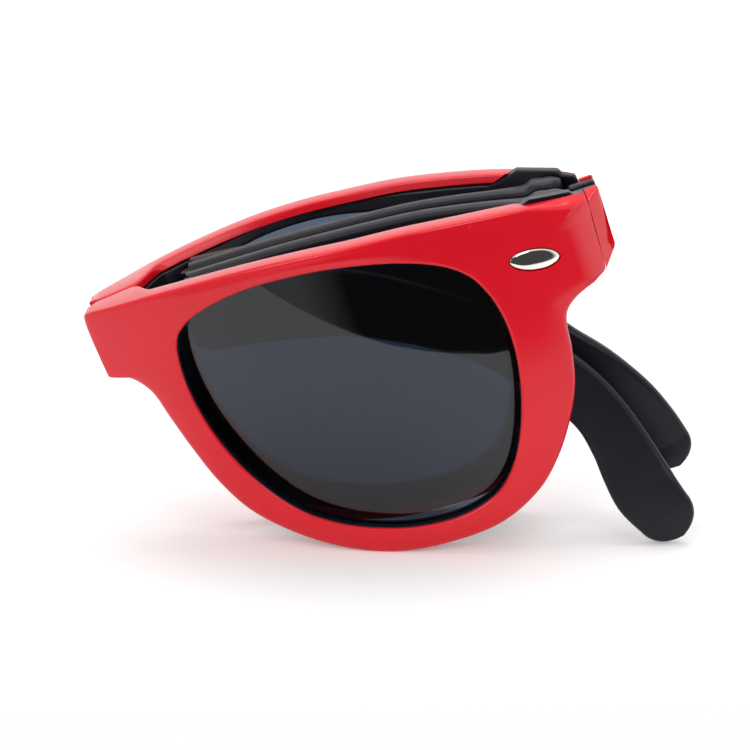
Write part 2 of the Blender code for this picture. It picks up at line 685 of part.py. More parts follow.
def bridge_leaf(own):
    """One leaf of the bridge hinge, with its own knuckles, in the left half's frame."""
    plate = box((0.0, LEAF_BACK - LEAF_THICKNESS, BRIDGE_BOTTOM), (LEAF_END, LEAF_BACK, BRIDGE_TOP))
    steps = [("UNION", post(0.0, 0.0, BRIDGE_BARREL_RADIUS, low, high))
             for low, high in knuckle_spans(BRIDGE_BOTTOM, BRIDGE_TOP, BRIDGE_KNUCKLES, own)]
    clear = BRIDGE_BARREL_RADIUS + HINGE_GAP
    steps += [("DIFFERENCE", post(0.0, 0.0, clear, low - HINGE_GAP, high + HINGE_GAP))
              for low, high in knuckle_spans(BRIDGE_BOTTOM, BRIDGE_TOP, BRIDGE_KNUCKLES, not own)]
    steps.append(("DIFFERENCE", post(0.0, 0.0, BRIDGE_PIN_RADIUS + PIN_GAP, -REACH, REACH)))
    return combine(plate, steps)


def axis_empty(name, parent, origin):
    """Makes an empty on a hinge axis, at a point given in the half's frame."""
    empty = bpy.data.objects.new(name, None)
    empty.empty_display_size = 4.0 * MM
    bpy.context.scene.collection.objects.link(empty)
    empty["origin_mm"] = origin
    if parent is not None:
        empty.parent = parent
        empty.location = (Vector(origin) - Vector(parent["origin_mm"])) * MM
    return empty


def build():
    """Builds both halves, their temples and hinges, and stands them on the floor."""
    clear_scene()
    red = material("red_gloss", RED, 0.12, 0.0)
    black = material("black_satin", BLACK, 0.32, 0.0)
    smoke = material("smoke_lens", SMOKE, 0.04, 0.0)
    metal = material("bright_metal", METAL, 0.18, 1.0)
    rim = Rim(RIM_STEPS)
    shapes = {
        "front_shell": (front_shell(rim), red), "back_frame": (back_frame(rim), black),
        "lens": (lens(Rim(LENS_STEPS)), smoke), "inlay": (inlay(), metal), "end_cap": (end_cap(), red)}
    front_shapes = {"temple_front": (temple_front(), black), "temple_hinge_pin": (temple_pin(), metal)}
    mid_pin = post(MID_X, MID_Y, MID_PIN_RADIUS, MID_BOTTOM + PIN_INSET, MID_TOP - PIN_INSET)
    front_shapes["mid_hinge_pin"] = (mid_pin, metal)

    stand = axis_empty("stand", None, (0.0, 0.0, 0.0))
    bridge_axis = axis_empty("bridge_axis", stand, (0.0, 0.0, 0.0))
    for side, half, sign in (("left", stand, 1.0), ("right", bridge_axis, -1.0)):
        def place(mesh):
            return mesh if side == "left" else mirrored(mesh)
        hinge_axis = axis_empty(side + "_temple_axis", half, (HINGE_X, HINGE_Y * sign, 0.0))
        mid_axis = axis_empty(side + "_mid_axis", hinge_axis, (MID_X, MID_Y * sign, 0.0))
        for name, (mesh, look) in shapes.items():
            new_object(side + "_" + name, place(mesh.copy()), half, look)
        new_object(side + "_bridge_leaf", place(bridge_leaf(side == "left")), half, metal)
        for name, (mesh, look) in front_shapes.items():
            new_object(side + "_" + name, place(mesh.copy()), hinge_axis, look)
        rear_shape = temple_rear(0.0 if side == "left" else RIGHT_TIP_LIFT)
        new_object(side + "_temple_rear", place(rear_shape), mid_axis, black)
    pin = post(0.0, 0.0, BRIDGE_PIN_RADIUS, BRIDGE_BOTTOM + PIN_INSET, BRIDGE_TOP - PIN_INSET)
    new_object("bridge_pin", pin, stand, metal)

    stand.rotation_euler = (0.0, -math.radians(TIP_ANGLE), 0.0)
    bpy.context.view_layer.update()
    spots = [obj.matrix_world @ vertex.co for obj in bpy.data.objects if obj.type == "MESH"
             for vertex in obj.data.vertices]
    middle = (min(spot.x for spot in spots) + max(spot.x for spot in spots)) / 2.0
    stand.location = (-middle, 0.0, -min(spot.z for spot in spots))
    bpy.context.view_layer.update()


build()
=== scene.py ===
"""The looks of the folding sunglasses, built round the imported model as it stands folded.

Every piece of one half is worked out in that half's own upright frame, in millimetres: x runs
from the bridge hinge to the temple, y from the front of the lens to the face, and z up along
the bridge hinge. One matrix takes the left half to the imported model's place, and the same
matrix after a mirror takes the right half there. Sizes are in millimetres and angles in
degrees, unless a docstring says otherwise.
"""
import json
import logging
import math
from dataclasses import dataclass, field
from enum import Enum

import bmesh
import bpy
import numpy as np
from mathutils import Matrix, Vector

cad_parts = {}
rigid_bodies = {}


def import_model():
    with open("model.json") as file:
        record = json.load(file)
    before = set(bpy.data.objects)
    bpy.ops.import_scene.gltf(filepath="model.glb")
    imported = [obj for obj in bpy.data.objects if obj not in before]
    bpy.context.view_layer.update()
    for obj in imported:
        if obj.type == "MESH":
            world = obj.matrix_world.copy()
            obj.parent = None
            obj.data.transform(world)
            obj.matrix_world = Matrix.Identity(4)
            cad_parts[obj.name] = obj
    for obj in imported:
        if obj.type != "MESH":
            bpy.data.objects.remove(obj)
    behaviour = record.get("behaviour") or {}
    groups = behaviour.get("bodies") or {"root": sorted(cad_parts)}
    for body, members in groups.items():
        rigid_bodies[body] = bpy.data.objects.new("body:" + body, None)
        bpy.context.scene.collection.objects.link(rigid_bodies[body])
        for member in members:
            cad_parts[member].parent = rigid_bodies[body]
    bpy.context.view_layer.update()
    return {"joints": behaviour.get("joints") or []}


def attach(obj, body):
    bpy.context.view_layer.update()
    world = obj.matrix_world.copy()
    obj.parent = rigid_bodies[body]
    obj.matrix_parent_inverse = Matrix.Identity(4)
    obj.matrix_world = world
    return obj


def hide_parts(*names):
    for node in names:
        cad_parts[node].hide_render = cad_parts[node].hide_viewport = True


for _leftover in list(bpy.data.objects):
    bpy.data.objects.remove(_leftover, do_unlink=True)
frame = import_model()

LOG = logging.getLogger("sunglasses")
MM = 0.001  # in metres
KEEN_CORNER = 0.02  # corner radius of a keen edge, as a share of the smallest half size
FULL_CORNER = 0.98  # largest corner radius, as a share of the smaller half size
EDGE_STEPS = 5  # sections in a rounded end
Array = np.ndarray
Colour = tuple[float, float, float]
Socket = bpy.types.NodeSocket
Groups = dict[str, bpy.types.NodeTree]
Stations = list[tuple[float, ...]]
Steps = list[tuple["Join", bpy.types.Mesh]]


class Side(Enum):
    """The two halves of the folded pair."""

    LEFT = "left"
    RIGHT = "right"


class Join(Enum):
    """How a tool mesh changes the mesh that it meets."""

    CUT = "DIFFERENCE"
    ADD = "UNION"


def smooth_curve(points: Stations, count: int, closed: bool) -> Array:
    """Samples a Catmull-Rom curve at even parameter steps.

    Formula: between points b and c, with neighbours a and d, the place at t is half of
    2b + (c - a)t + (2a - 5b + 4c - d)t^2 + (3b - a - 3c + d)t^3.

    Args:
        points: the points that the curve passes through.
        count: how many samples to take.
        closed: whether the curve returns to its first point.

    Returns:
        Array of count rows.
    """
    knots = np.array(points, float)
    size = len(knots)
    last = size if closed else size - 1
    at = last * np.arange(count) / (count if closed else count - 1)
    base = np.minimum(at.astype(int), last - 1)
    t = (at - base)[:, None]
    wanted = base[:, None] + np.arange(-1, 3)[None, :]
    wanted = wanted % size if closed else np.clip(wanted, 0, last)
    a, b, c, d = (knots[wanted[:, k]] for k in range(4))
    return 0.5 * (2 * b + (c - a) * t + (2 * a - 5 * b + 4 * c - d) * t ** 2
                  + (3 * b - a - 3 * c + d) * t ** 3)


def smooth_step(start: float, end: float, value: Array) -> Array:
    """Returns 0 before start, 1 after end and an even blend between them."""
    share = np.clip((value - start) / (end - start), 0.0, 1.0)
    return share * share * (3.0 - 2.0 * share)


def between(start: float, end: float, count: int) -> Array:
    """Returns even steps from start to end, without the two ends."""
    return np.linspace(start, end, count + 2)[1:-1]


def grid_quads(rows: int, columns: int, ring: bool) -> Array:
    """Numbers the quads of a grid whose columns close on themselves.

    Args:
        rows: number of sections.
        columns: points in each section.
        ring: whether the last section joins the first.

    Returns:
        Array of four vertex numbers for each quad.
    """
    i = np.arange(rows if ring else rows - 1)[:, None]
    k = np.arange(columns)[None, :]
    j = (i + 1) % rows
    m = (k + 1) % columns
    corners = [i * columns + k, i * columns + m, j * columns + m, j * columns + k]
    return np.stack([np.broadcast_to(c, (i.size, columns)) for c in corners], -1).reshape(-1, 4)


def mesh_of(points: Array, quads: Array, fans: Array, lids: Array | None = None) -> bpy.types.Mesh:
    """Puts vertices, quads, triangles and flat lids into a mesh whose faces point outwards.

    Args:
        points: vertex places, in millimetres.
        quads: four vertex numbers a row.
        fans: three vertex numbers a row.
        lids: the vertex numbers of one flat end a row.

    Returns:
        The mesh, turned the right way round by the sign of its volume.
    """
    lids = np.zeros((0, 3), int) if lids is None else lids
    lid_fans = [np.stack([lids[:, 0], lids[:, k], lids[:, k + 1]], -1)
                for k in range(1, lids.shape[1] - 1)]
    triangles = np.concatenate([quads[:, [0, 1, 2]], quads[:, [0, 2, 3]], fans, *lid_fans])
    a, b, c = (points[triangles[:, k]] for k in range(3))
    kinds = [quads, fans, lids]
    if np.einsum("ij,ij->i", a, np.cross(b, c)).sum() < 0.0:
        kinds = [kind[:, ::-1] for kind in kinds]
    mesh = bpy.data.meshes.new("surface")
    mesh.vertices.add(len(points))
    mesh.vertices.foreach_set("co", np.ascontiguousarray(points, np.float32).ravel())
    corners = np.concatenate([kind.ravel() for kind in kinds]).astype(np.int32)
    mesh.loops.add(len(corners))
    mesh.loops.foreach_set("vertex_index", corners)
    sizes = np.concatenate([np.full(len(kind), kind.shape[1]) for kind in kinds])
    mesh.polygons.add(len(sizes))
    mesh.polygons.foreach_set("loop_start", (np.cumsum(sizes) - sizes).astype(np.int32))
    mesh.update(calc_edges=True)
    mesh.validate()
    return mesh


def ring_mesh(sections: Array) -> bpy.types.Mesh:
    """Skins a closed ring of closed sections, given as rows x columns x 3."""
    rows, columns, _ = sections.shape
    return mesh_of(sections.reshape(-1, 3), grid_quads(rows, columns, True), np.zeros((0, 3), int))


def bar_mesh(sections: Array, flat_ends: bool = False) -> bpy.types.Mesh:
    """Skins a bar of closed sections and closes both ends.

    Args:
        sections: rows x columns x 3.
        flat_ends: whether each end is one flat face instead of a fan round its middle.

    Returns:
        The closed mesh.
    """
    rows, columns, _ = sections.shape
    first = rows * columns
    k = np.arange(columns)
    m = (k + 1) % columns
    far = (rows - 1) * columns
    quads = grid_quads(rows, columns, False)
    if flat_ends:
        lids = np.stack([k[::-1], far + k])
        return mesh_of(sections.reshape(-1, 3), quads, np.zeros((0, 3), int), lids)
    points = np.concatenate([sections.reshape(-1, 3), sections[[0, -1]].mean(axis=1)])
    start = np.stack([m, k, np.full(columns, first)], -1)
    end = np.stack([far + k, far + m, np.full(columns, first + 1)], -1)
    return mesh_of(points, quads, np.concatenate([start, end]))


def rounded_rectangle(half_u: Array, half_v: Array, corner: Array, steps: int) -> tuple[Array, Array]:
    """Works out rounded rectangles, one a row.

    Formula: in each quarter the point is the corner's centre plus the corner radius times
    the cosine and sine of an angle that runs through that quarter.

    Args:
        half_u: half widths.
        half_v: half heights.
        corner: corner radii.
        steps: points in each rounded corner.

    Returns:
        The u and the v of every point, as rows x columns.
    """
    quarter = np.radians(np.linspace(0.0, 90.0, steps))
    angles = np.concatenate([quarter + k * math.pi / 2.0 for k in range(4)])
    sign_u = np.repeat([1.0, -1.0, -1.0, 1.0], steps)
    sign_v = np.repeat([1.0, 1.0, -1.0, -1.0], steps)
    radius = np.minimum(corner, FULL_CORNER * np.minimum(half_u, half_v))[:, None]
    u = sign_u * (half_u[:, None] - radius) + radius * np.cos(angles)
    v = sign_v * (half_v[:, None] - radius) + radius * np.sin(angles)
    return u, v


def block(low: tuple, high: tuple, radius: float = 0.0, steps: int = EDGE_STEPS) -> bpy.types.Mesh:
    """Makes a block between two corners, with all its edges rounded.

    Formula: sections along x are rounded rectangles. For one angle, a section near an end is
    set in by the radius times one minus the sine, and lies the radius times one minus the
    cosine inside that end.

    Args:
        low: the corner with the least x, y and z.
        high: the corner with the greatest x, y and z.
        radius: rounding of the edges, 0 for keen ones.
        steps: sections in each rounded end and points in each rounded corner.

    Returns:
        The closed mesh.
    """
    low = np.array(low, float)
    high = np.array(high, float)
    half = (high - low) / 2.0
    middle = (high + low) / 2.0
    turn = np.radians(np.linspace(0.0, 90.0, steps)) if radius else np.zeros(1)
    inset = radius * (1.0 - np.sin(turn))
    forward = radius * (1.0 - np.cos(turn))
    x = np.concatenate([low[0] + forward, (high[0] - forward)[::-1]])
    inset = np.concatenate([inset, inset[::-1]])
    corner = np.maximum(radius - inset, KEEN_CORNER * half.min())
    u, v = rounded_rectangle(half[1] - inset, half[2] - inset, corner, steps if radius else 2)
    return bar_mesh(np.stack([np.broadcast_to(x[:, None], u.shape), middle[1] + u, middle[2] + v], -1), True)


def post(x: float, y: float, radius: float, bottom: float, top: float, edge: float = 0.0,
         steps: int = 64) -> bpy.types.Mesh:
    """Makes an upright round post with softened ends.

    Formula: a profile of radius and height, carried round the upright line through x and y.

    Args:
        x: place of the upright line.
        y: place of the upright line.
        radius: radius of the post.
        bottom: height of its lower end.
        top: height of its upper end.
        edge: rounding of both ends, 0 for keen ones.
        steps: points round the post.

    Returns:
        The closed mesh.
    """
    turn = np.radians(np.linspace(0.0, 90.0, EDGE_STEPS)) if edge else np.zeros(1)
    inset = edge * (1.0 - np.sin(turn))
    rise = edge * (1.0 - np.cos(turn))
    radii = radius - np.concatenate([inset, inset[::-1]])
    heights = np.concatenate([bottom + rise, (top - rise)[::-1]])
    around = 2.0 * math.pi * np.arange(steps) / steps
    px = x + radii[:, None] * np.cos(around)
    py = y + radii[:, None] * np.sin(around)
    return bar_mesh(np.stack([px, py, np.broadcast_to(heights[:, None], px.shape)], -1), True)


def combine(mesh: bpy.types.Mesh, steps: Steps, weld: float = 0.0002) -> bpy.types.Mesh:
    """Cuts tools out of a mesh, or adds them to it, one after another.

    Args:
        mesh: the mesh to start from.
        steps: pairs of a Join and the tool's mesh.
        weld: distance under which stray points of the result are merged.

    Returns:
        The combined mesh.
    """
    body = bpy.data.objects.new("body", mesh)
    bpy.context.scene.collection.objects.link(body)
    helpers = [body]
    for join, tool_mesh in steps:
        tool = bpy.data.objects.new("tool", tool_mesh)
        bpy.context.scene.collection.objects.link(tool)
        change = body.modifiers.new(join.name, "BOOLEAN")
        change.operation = join.value
        change.solver = "EXACT"
        change.object = tool
        helpers.append(tool)
    bpy.context.view_layer.update()
    result = bpy.data.meshes.new_from_object(body.evaluated_get(bpy.context.evaluated_depsgraph_get()))
    shape = bmesh.new()
    shape.from_mesh(result)
    bmesh.ops.remove_doubles(shape, verts=shape.verts, dist=weld)
    bmesh.ops.dissolve_degenerate(shape, edges=shape.edges, dist=weld)
    loose = [edge for edge in shape.edges if not edge.link_faces]
    bmesh.ops.delete(shape, geom=loose, context="EDGES")
    stray = [point for point in shape.verts if not point.link_edges]
    bmesh.ops.delete(shape, geom=stray, context="VERTS")
    shape.to_mesh(result)
    shape.free()
    for helper in helpers:
        bpy.data.objects.remove(helper, do_unlink=True)
    return result


class NodeBoard:
    """Adds nodes to one node tree and joins them up."""

    # numbers of the colour sockets of a mix node: two that go in, and the one that comes out
    first_colour = 6
    second_colour = 7
    mixed_colour = 2

    def __init__(self, tree: bpy.types.NodeTree) -> None:
        """Starts on a node tree."""
        self.tree = tree

    def feed(self, socket: Socket, value: object) -> None:
        """Joins a socket to the one that feeds it, or gives it a plain value.

        Args:
            socket: the input socket.
            value: an output socket, or the plain value.
        """
        if isinstance(value, Socket):
            self.tree.links.new(value, socket)
        else:
            socket.default_value = value

    def add(self, kind: str, values: dict | None = None, **options: object) -> bpy.types.Node:
        """Adds one node.

        Args:
            kind: the node's type name.
            values: socket name or number to a plain value or to the socket that feeds it.
            options: properties of the node itself.

        Returns:
            The new node.
        """
        node = self.tree.nodes.new(kind)
        for name, value in options.items():
            setattr(node, name, value)
        for key, value in (values or {}).items():
            self.feed(node.inputs[key], value)
        return node

    def math(self, operation: str, a: float | Socket, b: float | Socket, clamp: bool = False) -> Socket:
        """Returns the output of a math node on two values or sockets."""
        return self.add("ShaderNodeMath", {0: a, 1: b}, operation=operation, use_clamp=clamp).outputs[0]

    def spread(self, value: Socket, low: float, high: float, to_low: float, to_high: float) -> Socket:
        """Returns a value mapped from one range to another and held inside it."""
        return self.add("ShaderNodeMapRange", {"Value": value, "From Min": low, "From Max": high,
                                               "To Min": to_low, "To Max": to_high}).outputs["Result"]

    def mix(self, share: Socket, a: Colour | Socket, b: Colour | Socket) -> Socket:
        """Mixes two colours.

        Args:
            share: how far the result lies from the first colour to the second, 0 to 1.
            a: the first colour.
            b: the second colour.

        Returns:
            The mixed colour.
        """
        node = self.add("ShaderNodeMix", {"Factor": share}, data_type="RGBA")
        for number, colour in ((self.first_colour, a), (self.second_colour, b)):
            self.feed(node.inputs[number], colour if isinstance(colour, Socket) else (*colour, 1.0))
        return node.outputs[self.mixed_colour]


def new_group(name: str, inputs: dict[str, float | None],
              outputs: tuple[str, ...]) -> tuple[NodeBoard, dict, dict]:
    """Starts a shader node group with named sockets.

    Args:
        name: the group's name.
        inputs: socket name to its first value, None for a vector.
        outputs: names of the sockets that give a value.

    Returns:
        The board of the group, its input sockets and the sockets to feed its outputs.
    """
    tree = bpy.data.node_groups.new(name, "ShaderNodeTree")
    for label, value in inputs.items():
        kind = "NodeSocketVector" if value is None else "NodeSocketFloat"
        socket = tree.interface.new_socket(label, in_out="INPUT", socket_type=kind)
        if value is not None:
            socket.default_value = value
    for label in outputs:
        tree.interface.new_socket(label, in_out="OUTPUT", socket_type="NodeSocketFloat")
    board = NodeBoard(tree)
    start = board.add("NodeGroupInput")
    end = board.add("NodeGroupOutput")
    return board, dict(zip(inputs, start.outputs)), dict(zip(outputs, end.inputs))


def moulded_skin_group() -> bpy.types.NodeTree:
    """Builds the skin of moulded plastic: flow clouds, a fine texture and uneven gloss.

    Returns:
        Group with outputs Tone (0 to 1), Height (0 to 1) and Gloss (0 to 1).
    """
    noise_low, noise_high = 0.3, 0.7
    gloss_fineness = 5.0
    board, given, out = new_group(
        "moulded skin", {"Vector": None, "Cloud Scale": 90.0, "Grain Scale": 3500.0},
        ("Tone", "Height", "Gloss"))
    cloud = board.add("ShaderNodeTexNoise", {"Vector": given["Vector"], "Scale": given["Cloud Scale"],
                                             "Detail": 3.0, "Roughness": 0.5})
    grain = board.add("ShaderNodeTexNoise", {"Vector": given["Vector"], "Scale": given["Grain Scale"],
                                             "Detail": 2.0, "Roughness": 0.6})
    finer = board.math("MULTIPLY", given["Cloud Scale"], gloss_fineness)
    gloss = board.add("ShaderNodeTexNoise", {"Vector": given["Vector"], "Scale": finer,
                                             "Detail": 4.0, "Roughness": 0.65})
    for key, node in (("Tone", cloud), ("Height", grain), ("Gloss", gloss)):
        board.feed(out[key], board.spread(node.outputs[0], noise_low, noise_high, 0.0, 1.0))
    return board.tree


def handling_group() -> bpy.types.NodeTree:
    """Builds the marks of handling: hairline scratches in two directions and specks of dust.

    Returns:
        Group with outputs Scratch (0 to 1) and Dust (0 to 1).
    """
    turns_and_stretches = ((0.5, 26.0), (-0.9, 34.0))
    line_start, line_full = 0.72, 0.78
    speck_full, speck_end = 0.02, 0.12
    board, given, out = new_group(
        "handling marks", {"Vector": None, "Scratch Scale": 260.0, "Dust Scale": 700.0, "Dust Amount": 0.05},
        ("Scratch", "Dust"))
    lines = []
    for turn, stretch in turns_and_stretches:
        turned = board.add("ShaderNodeVectorRotate", {"Vector": given["Vector"], "Angle": turn},
                           rotation_type="Y_AXIS")
        drawn = board.add("ShaderNodeVectorMath", {0: turned.outputs[0], 1: (1.0, 1.0, stretch)},
                          operation="MULTIPLY")
        noise = board.add("ShaderNodeTexNoise", {"Vector": drawn.outputs[0], "Scale": given["Scratch Scale"],
                                                 "Detail": 1.0})
        lines.append(board.spread(noise.outputs[0], line_start, line_full, 0.0, 1.0))
    board.feed(out["Scratch"], board.math("MAXIMUM", *lines))
    cells = board.add("ShaderNodeTexVoronoi", {"Vector": given["Vector"], "Scale": given["Dust Scale"]})
    chance = board.add("ShaderNodeSeparateColor", {"Color": cells.outputs["Color"]})
    present = board.math("LESS_THAN", chance.outputs[0], given["Dust Amount"])
    speck = board.spread(cells.outputs["Distance"], speck_full, speck_end, 1.0, 0.0)
    board.feed(out["Dust"], board.math("MULTIPLY", present, speck))
    return board.tree


@dataclass
class Draft:
    """A material under way: its shader, the two shared groups, its tone and its gloss."""

    made: bpy.types.Material
    board: NodeBoard
    skin: bpy.types.Node
    marks: bpy.types.Node
    tone: Socket
    gloss: Socket

    def marked(self, value: Socket, mark: str, amount: float, clamp: bool = False) -> Socket:
        """Returns the value, raised by the amount where a mark of handling lies."""
        raised = self.board.math("MULTIPLY", self.marks.outputs[mark], amount)
        return self.board.math("ADD", value, raised, clamp)

    def relief(self, depth: float) -> Socket:
        """Returns the normal of a grain that is the given depth in millimetres."""
        return self.board.add("ShaderNodeBump", {"Height": self.skin.outputs["Height"], "Strength": 1.0,
                                                 "Distance": depth * MM}).outputs[0]

    def finished(self, values: dict[str, object]) -> bpy.types.Material:
        """Feeds the shader and hands the material over.

        Args:
            values: socket name of the shader to a plain value or to the socket that feeds it.

        Returns:
            The finished material.
        """
        shader = self.made.node_tree.nodes["Principled BSDF"]
        for name, value in values.items():
            self.board.feed(shader.inputs[name], value)
        return self.made


@dataclass(frozen=True)
class Finish:
    """What every finish has: two close colours that drift into each other, and a roughness."""

    name: str
    colour: Colour
    drift: Colour
    roughness: tuple[float, float]

    def draft(self, groups: Groups, skin: dict[str, float], marks: dict[str, float]) -> Draft:
        """Starts the material from the shared groups.

        Args:
            groups: the shared groups, skin and marks.
            skin: values for the skin group's sockets.
            marks: values for the marks group's sockets.

        Returns:
            The material under way.
        """
        made = bpy.data.materials.new(self.name)
        made.use_nodes = True
        made.diffuse_color = (*self.colour, 1.0)
        board = NodeBoard(made.node_tree)
        place = board.add("ShaderNodeTexCoord").outputs["Object"]
        skin_node = board.add("ShaderNodeGroup", node_tree=groups["skin"])
        marks_node = board.add("ShaderNodeGroup", node_tree=groups["marks"])
        for node, values in ((skin_node, skin), (marks_node, marks)):
            for name, value in {"Vector": place, **values}.items():
                board.feed(node.inputs[name], value)
        tone = board.mix(skin_node.outputs["Tone"], self.colour, self.drift)
        gloss = board.spread(skin_node.outputs["Gloss"], 0.0, 1.0, *self.roughness)
        return Draft(made, board, skin_node, marks_node, tone, gloss)


@dataclass(frozen=True)
class Plastic(Finish):
    """A moulded plastic finish."""

    dust_colour: Colour
    dust_amount: float
    grain_scale: float
    grain_depth: float
    shine: float
    cloud_scale: float = 70.0
    scratch_dullness: float = 0.08
    dust_dullness: float = 0.3

    def build(self, groups: Groups) -> bpy.types.Material:
        """Builds the material: clouded colour, dust, scratches and grain.

        Args:
            groups: the shared groups.

        Returns:
            The finished material.
        """
        draft = self.draft(groups, {"Cloud Scale": self.cloud_scale, "Grain Scale": self.grain_scale},
                           {"Dust Amount": self.dust_amount})
        scratched = draft.marked(draft.gloss, "Scratch", self.scratch_dullness)
        return draft.finished({
            "Base Color": draft.board.mix(draft.marks.outputs["Dust"], draft.tone, self.dust_colour),
            "Roughness": draft.marked(scratched, "Dust", self.dust_dullness, clamp=True),
            "Normal": draft.relief(self.grain_depth), "Specular IOR Level": self.shine})


@dataclass(frozen=True)
class Metal(Finish):
    """A polished, plated metal finish."""

    cloud_scale: float = 300.0
    grain_scale: float = 2500.0
    grain_depth: float = 0.0004
    scratch_scale: float = 700.0
    scratch_dullness: float = 0.1

    def build(self, groups: Groups) -> bpy.types.Material:
        """Builds the material: toned plating with fine scratches.

        Args:
            groups: the shared groups.

        Returns:
            The finished material.
        """
        draft = self.draft(groups, {"Cloud Scale": self.cloud_scale, "Grain Scale": self.grain_scale},
                           {"Scratch Scale": self.scratch_scale})
        return draft.finished({
            "Base Color": draft.tone,
            "Roughness": draft.marked(draft.gloss, "Scratch", self.scratch_dullness),
            "Normal": draft.relief(self.grain_depth), "Metallic": 1.0})


@dataclass(frozen=True)
class TintedLens(Finish):
    """A tinted, see-through lens finish."""

    cloud_scale: float = 40.0
    dust_amount: float = 0.02
    dust_dullness: float = 0.15
    refraction: float = 1.5

    def build(self, groups: Groups) -> bpy.types.Material:
        """Builds the material: an even tint with a few specks of dust.

        Args:
            groups: the shared groups.

        Returns:
            The finished material.
        """
        draft = self.draft(groups, {"Cloud Scale": self.cloud_scale}, {"Dust Amount": self.dust_amount})
        return draft.finished({
            "Base Color": draft.tone,
            "Roughness": draft.marked(draft.gloss, "Dust", self.dust_dullness),
            "Transmission Weight": 1.0, "IOR": self.refraction})


@dataclass
class Finishes:
    """Every finish of the pair, built once and shared by its pieces."""

    red: bpy.types.Material
    black: bpy.types.Material
    black_inner: bpy.types.Material
    smoke: bpy.types.Material
    metal: bpy.types.Material
    steel: bpy.types.Material

    @classmethod
    def make(cls) -> "Finishes":
        """Builds the shared groups and the materials that use them.

        Returns:
            The finished materials.
        """
        black_dust = (0.06, 0.06, 0.06)
        kinds = {
            "red": Plastic("red_gloss", (0.76, 0.007, 0.020), (0.71, 0.005, 0.016), (0.14, 0.20),
                           dust_colour=(0.72, 0.12, 0.12), dust_amount=0.006, grain_scale=1400.0,
                           grain_depth=0.0010, shine=0.38),
            "black": Plastic("black_satin", (0.0050, 0.0046, 0.0090), (0.0066, 0.0060, 0.0110), (0.34, 0.44),
                             dust_colour=black_dust, dust_amount=0.02, grain_scale=4200.0,
                             grain_depth=0.0018, shine=0.26),
            "black_inner": Plastic("black_inner", (0.0045, 0.0042, 0.0080), (0.0060, 0.0056, 0.0100),
                                   (0.26, 0.36), dust_colour=black_dust, dust_amount=0.02,
                                   grain_scale=3200.0, grain_depth=0.0012, shine=0.26),
            "smoke": TintedLens("smoke_lens", (0.080, 0.108, 0.155), (0.090, 0.120, 0.168), (0.0, 0.012)),
            "metal": Metal("bright_metal", (0.86, 0.84, 0.80), (0.80, 0.78, 0.73), (0.04, 0.10)),
            "steel": Metal("hinge_steel", (0.66, 0.66, 0.68), (0.56, 0.56, 0.58), (0.20, 0.32))}
        groups = {"skin": moulded_skin_group(), "marks": handling_group()}
        return cls(**{name: kind.build(groups) for name, kind in kinds.items()})


class Placer:
    """Takes meshes from a half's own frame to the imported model's place and hands them over."""

    def __init__(self) -> None:
        """Reads where the bridge hinge stands and how it is tipped."""
        hinge = next(j for j in frame["joints"] if j["name"] == "bridge_hinge")
        tip = math.atan2(-hinge["axis"][0], hinge["axis"][2])
        self.left = (Matrix.Translation(Vector(hinge["pos_m"])) @ Matrix.Rotation(-tip, 4, "Y")
                     @ Matrix.Scale(MM, 4))
        self.mirror = Matrix.Scale(-1.0, 4, (0.0, 1.0, 0.0))

    def place(self, mesh: bpy.types.Mesh, side: Side, name: str, body: str, node: str | None, slot: str,
              look: bpy.types.Material, smooth_angle: float = 32.0) -> None:
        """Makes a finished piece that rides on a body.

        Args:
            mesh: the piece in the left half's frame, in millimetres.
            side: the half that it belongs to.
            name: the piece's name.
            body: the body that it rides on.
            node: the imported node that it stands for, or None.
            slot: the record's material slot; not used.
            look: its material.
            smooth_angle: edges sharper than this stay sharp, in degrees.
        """
        made = mesh.copy()
        if side is Side.RIGHT:
            made.transform(self.mirror)
            made.flip_normals()
        made.transform(self.left)
        made.name = name
        made.materials.clear()
        made.materials.append(look)
        made.shade_smooth()
        made.set_sharp_from_angle(angle=math.radians(smooth_angle))
        piece = bpy.data.objects.new(name, made)
        bpy.context.scene.collection.objects.link(piece)
        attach(piece, body)
        if node is not None:
            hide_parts(node)
        LOG.info("%s rides on %s with %d faces", name, body, len(made.polygons))


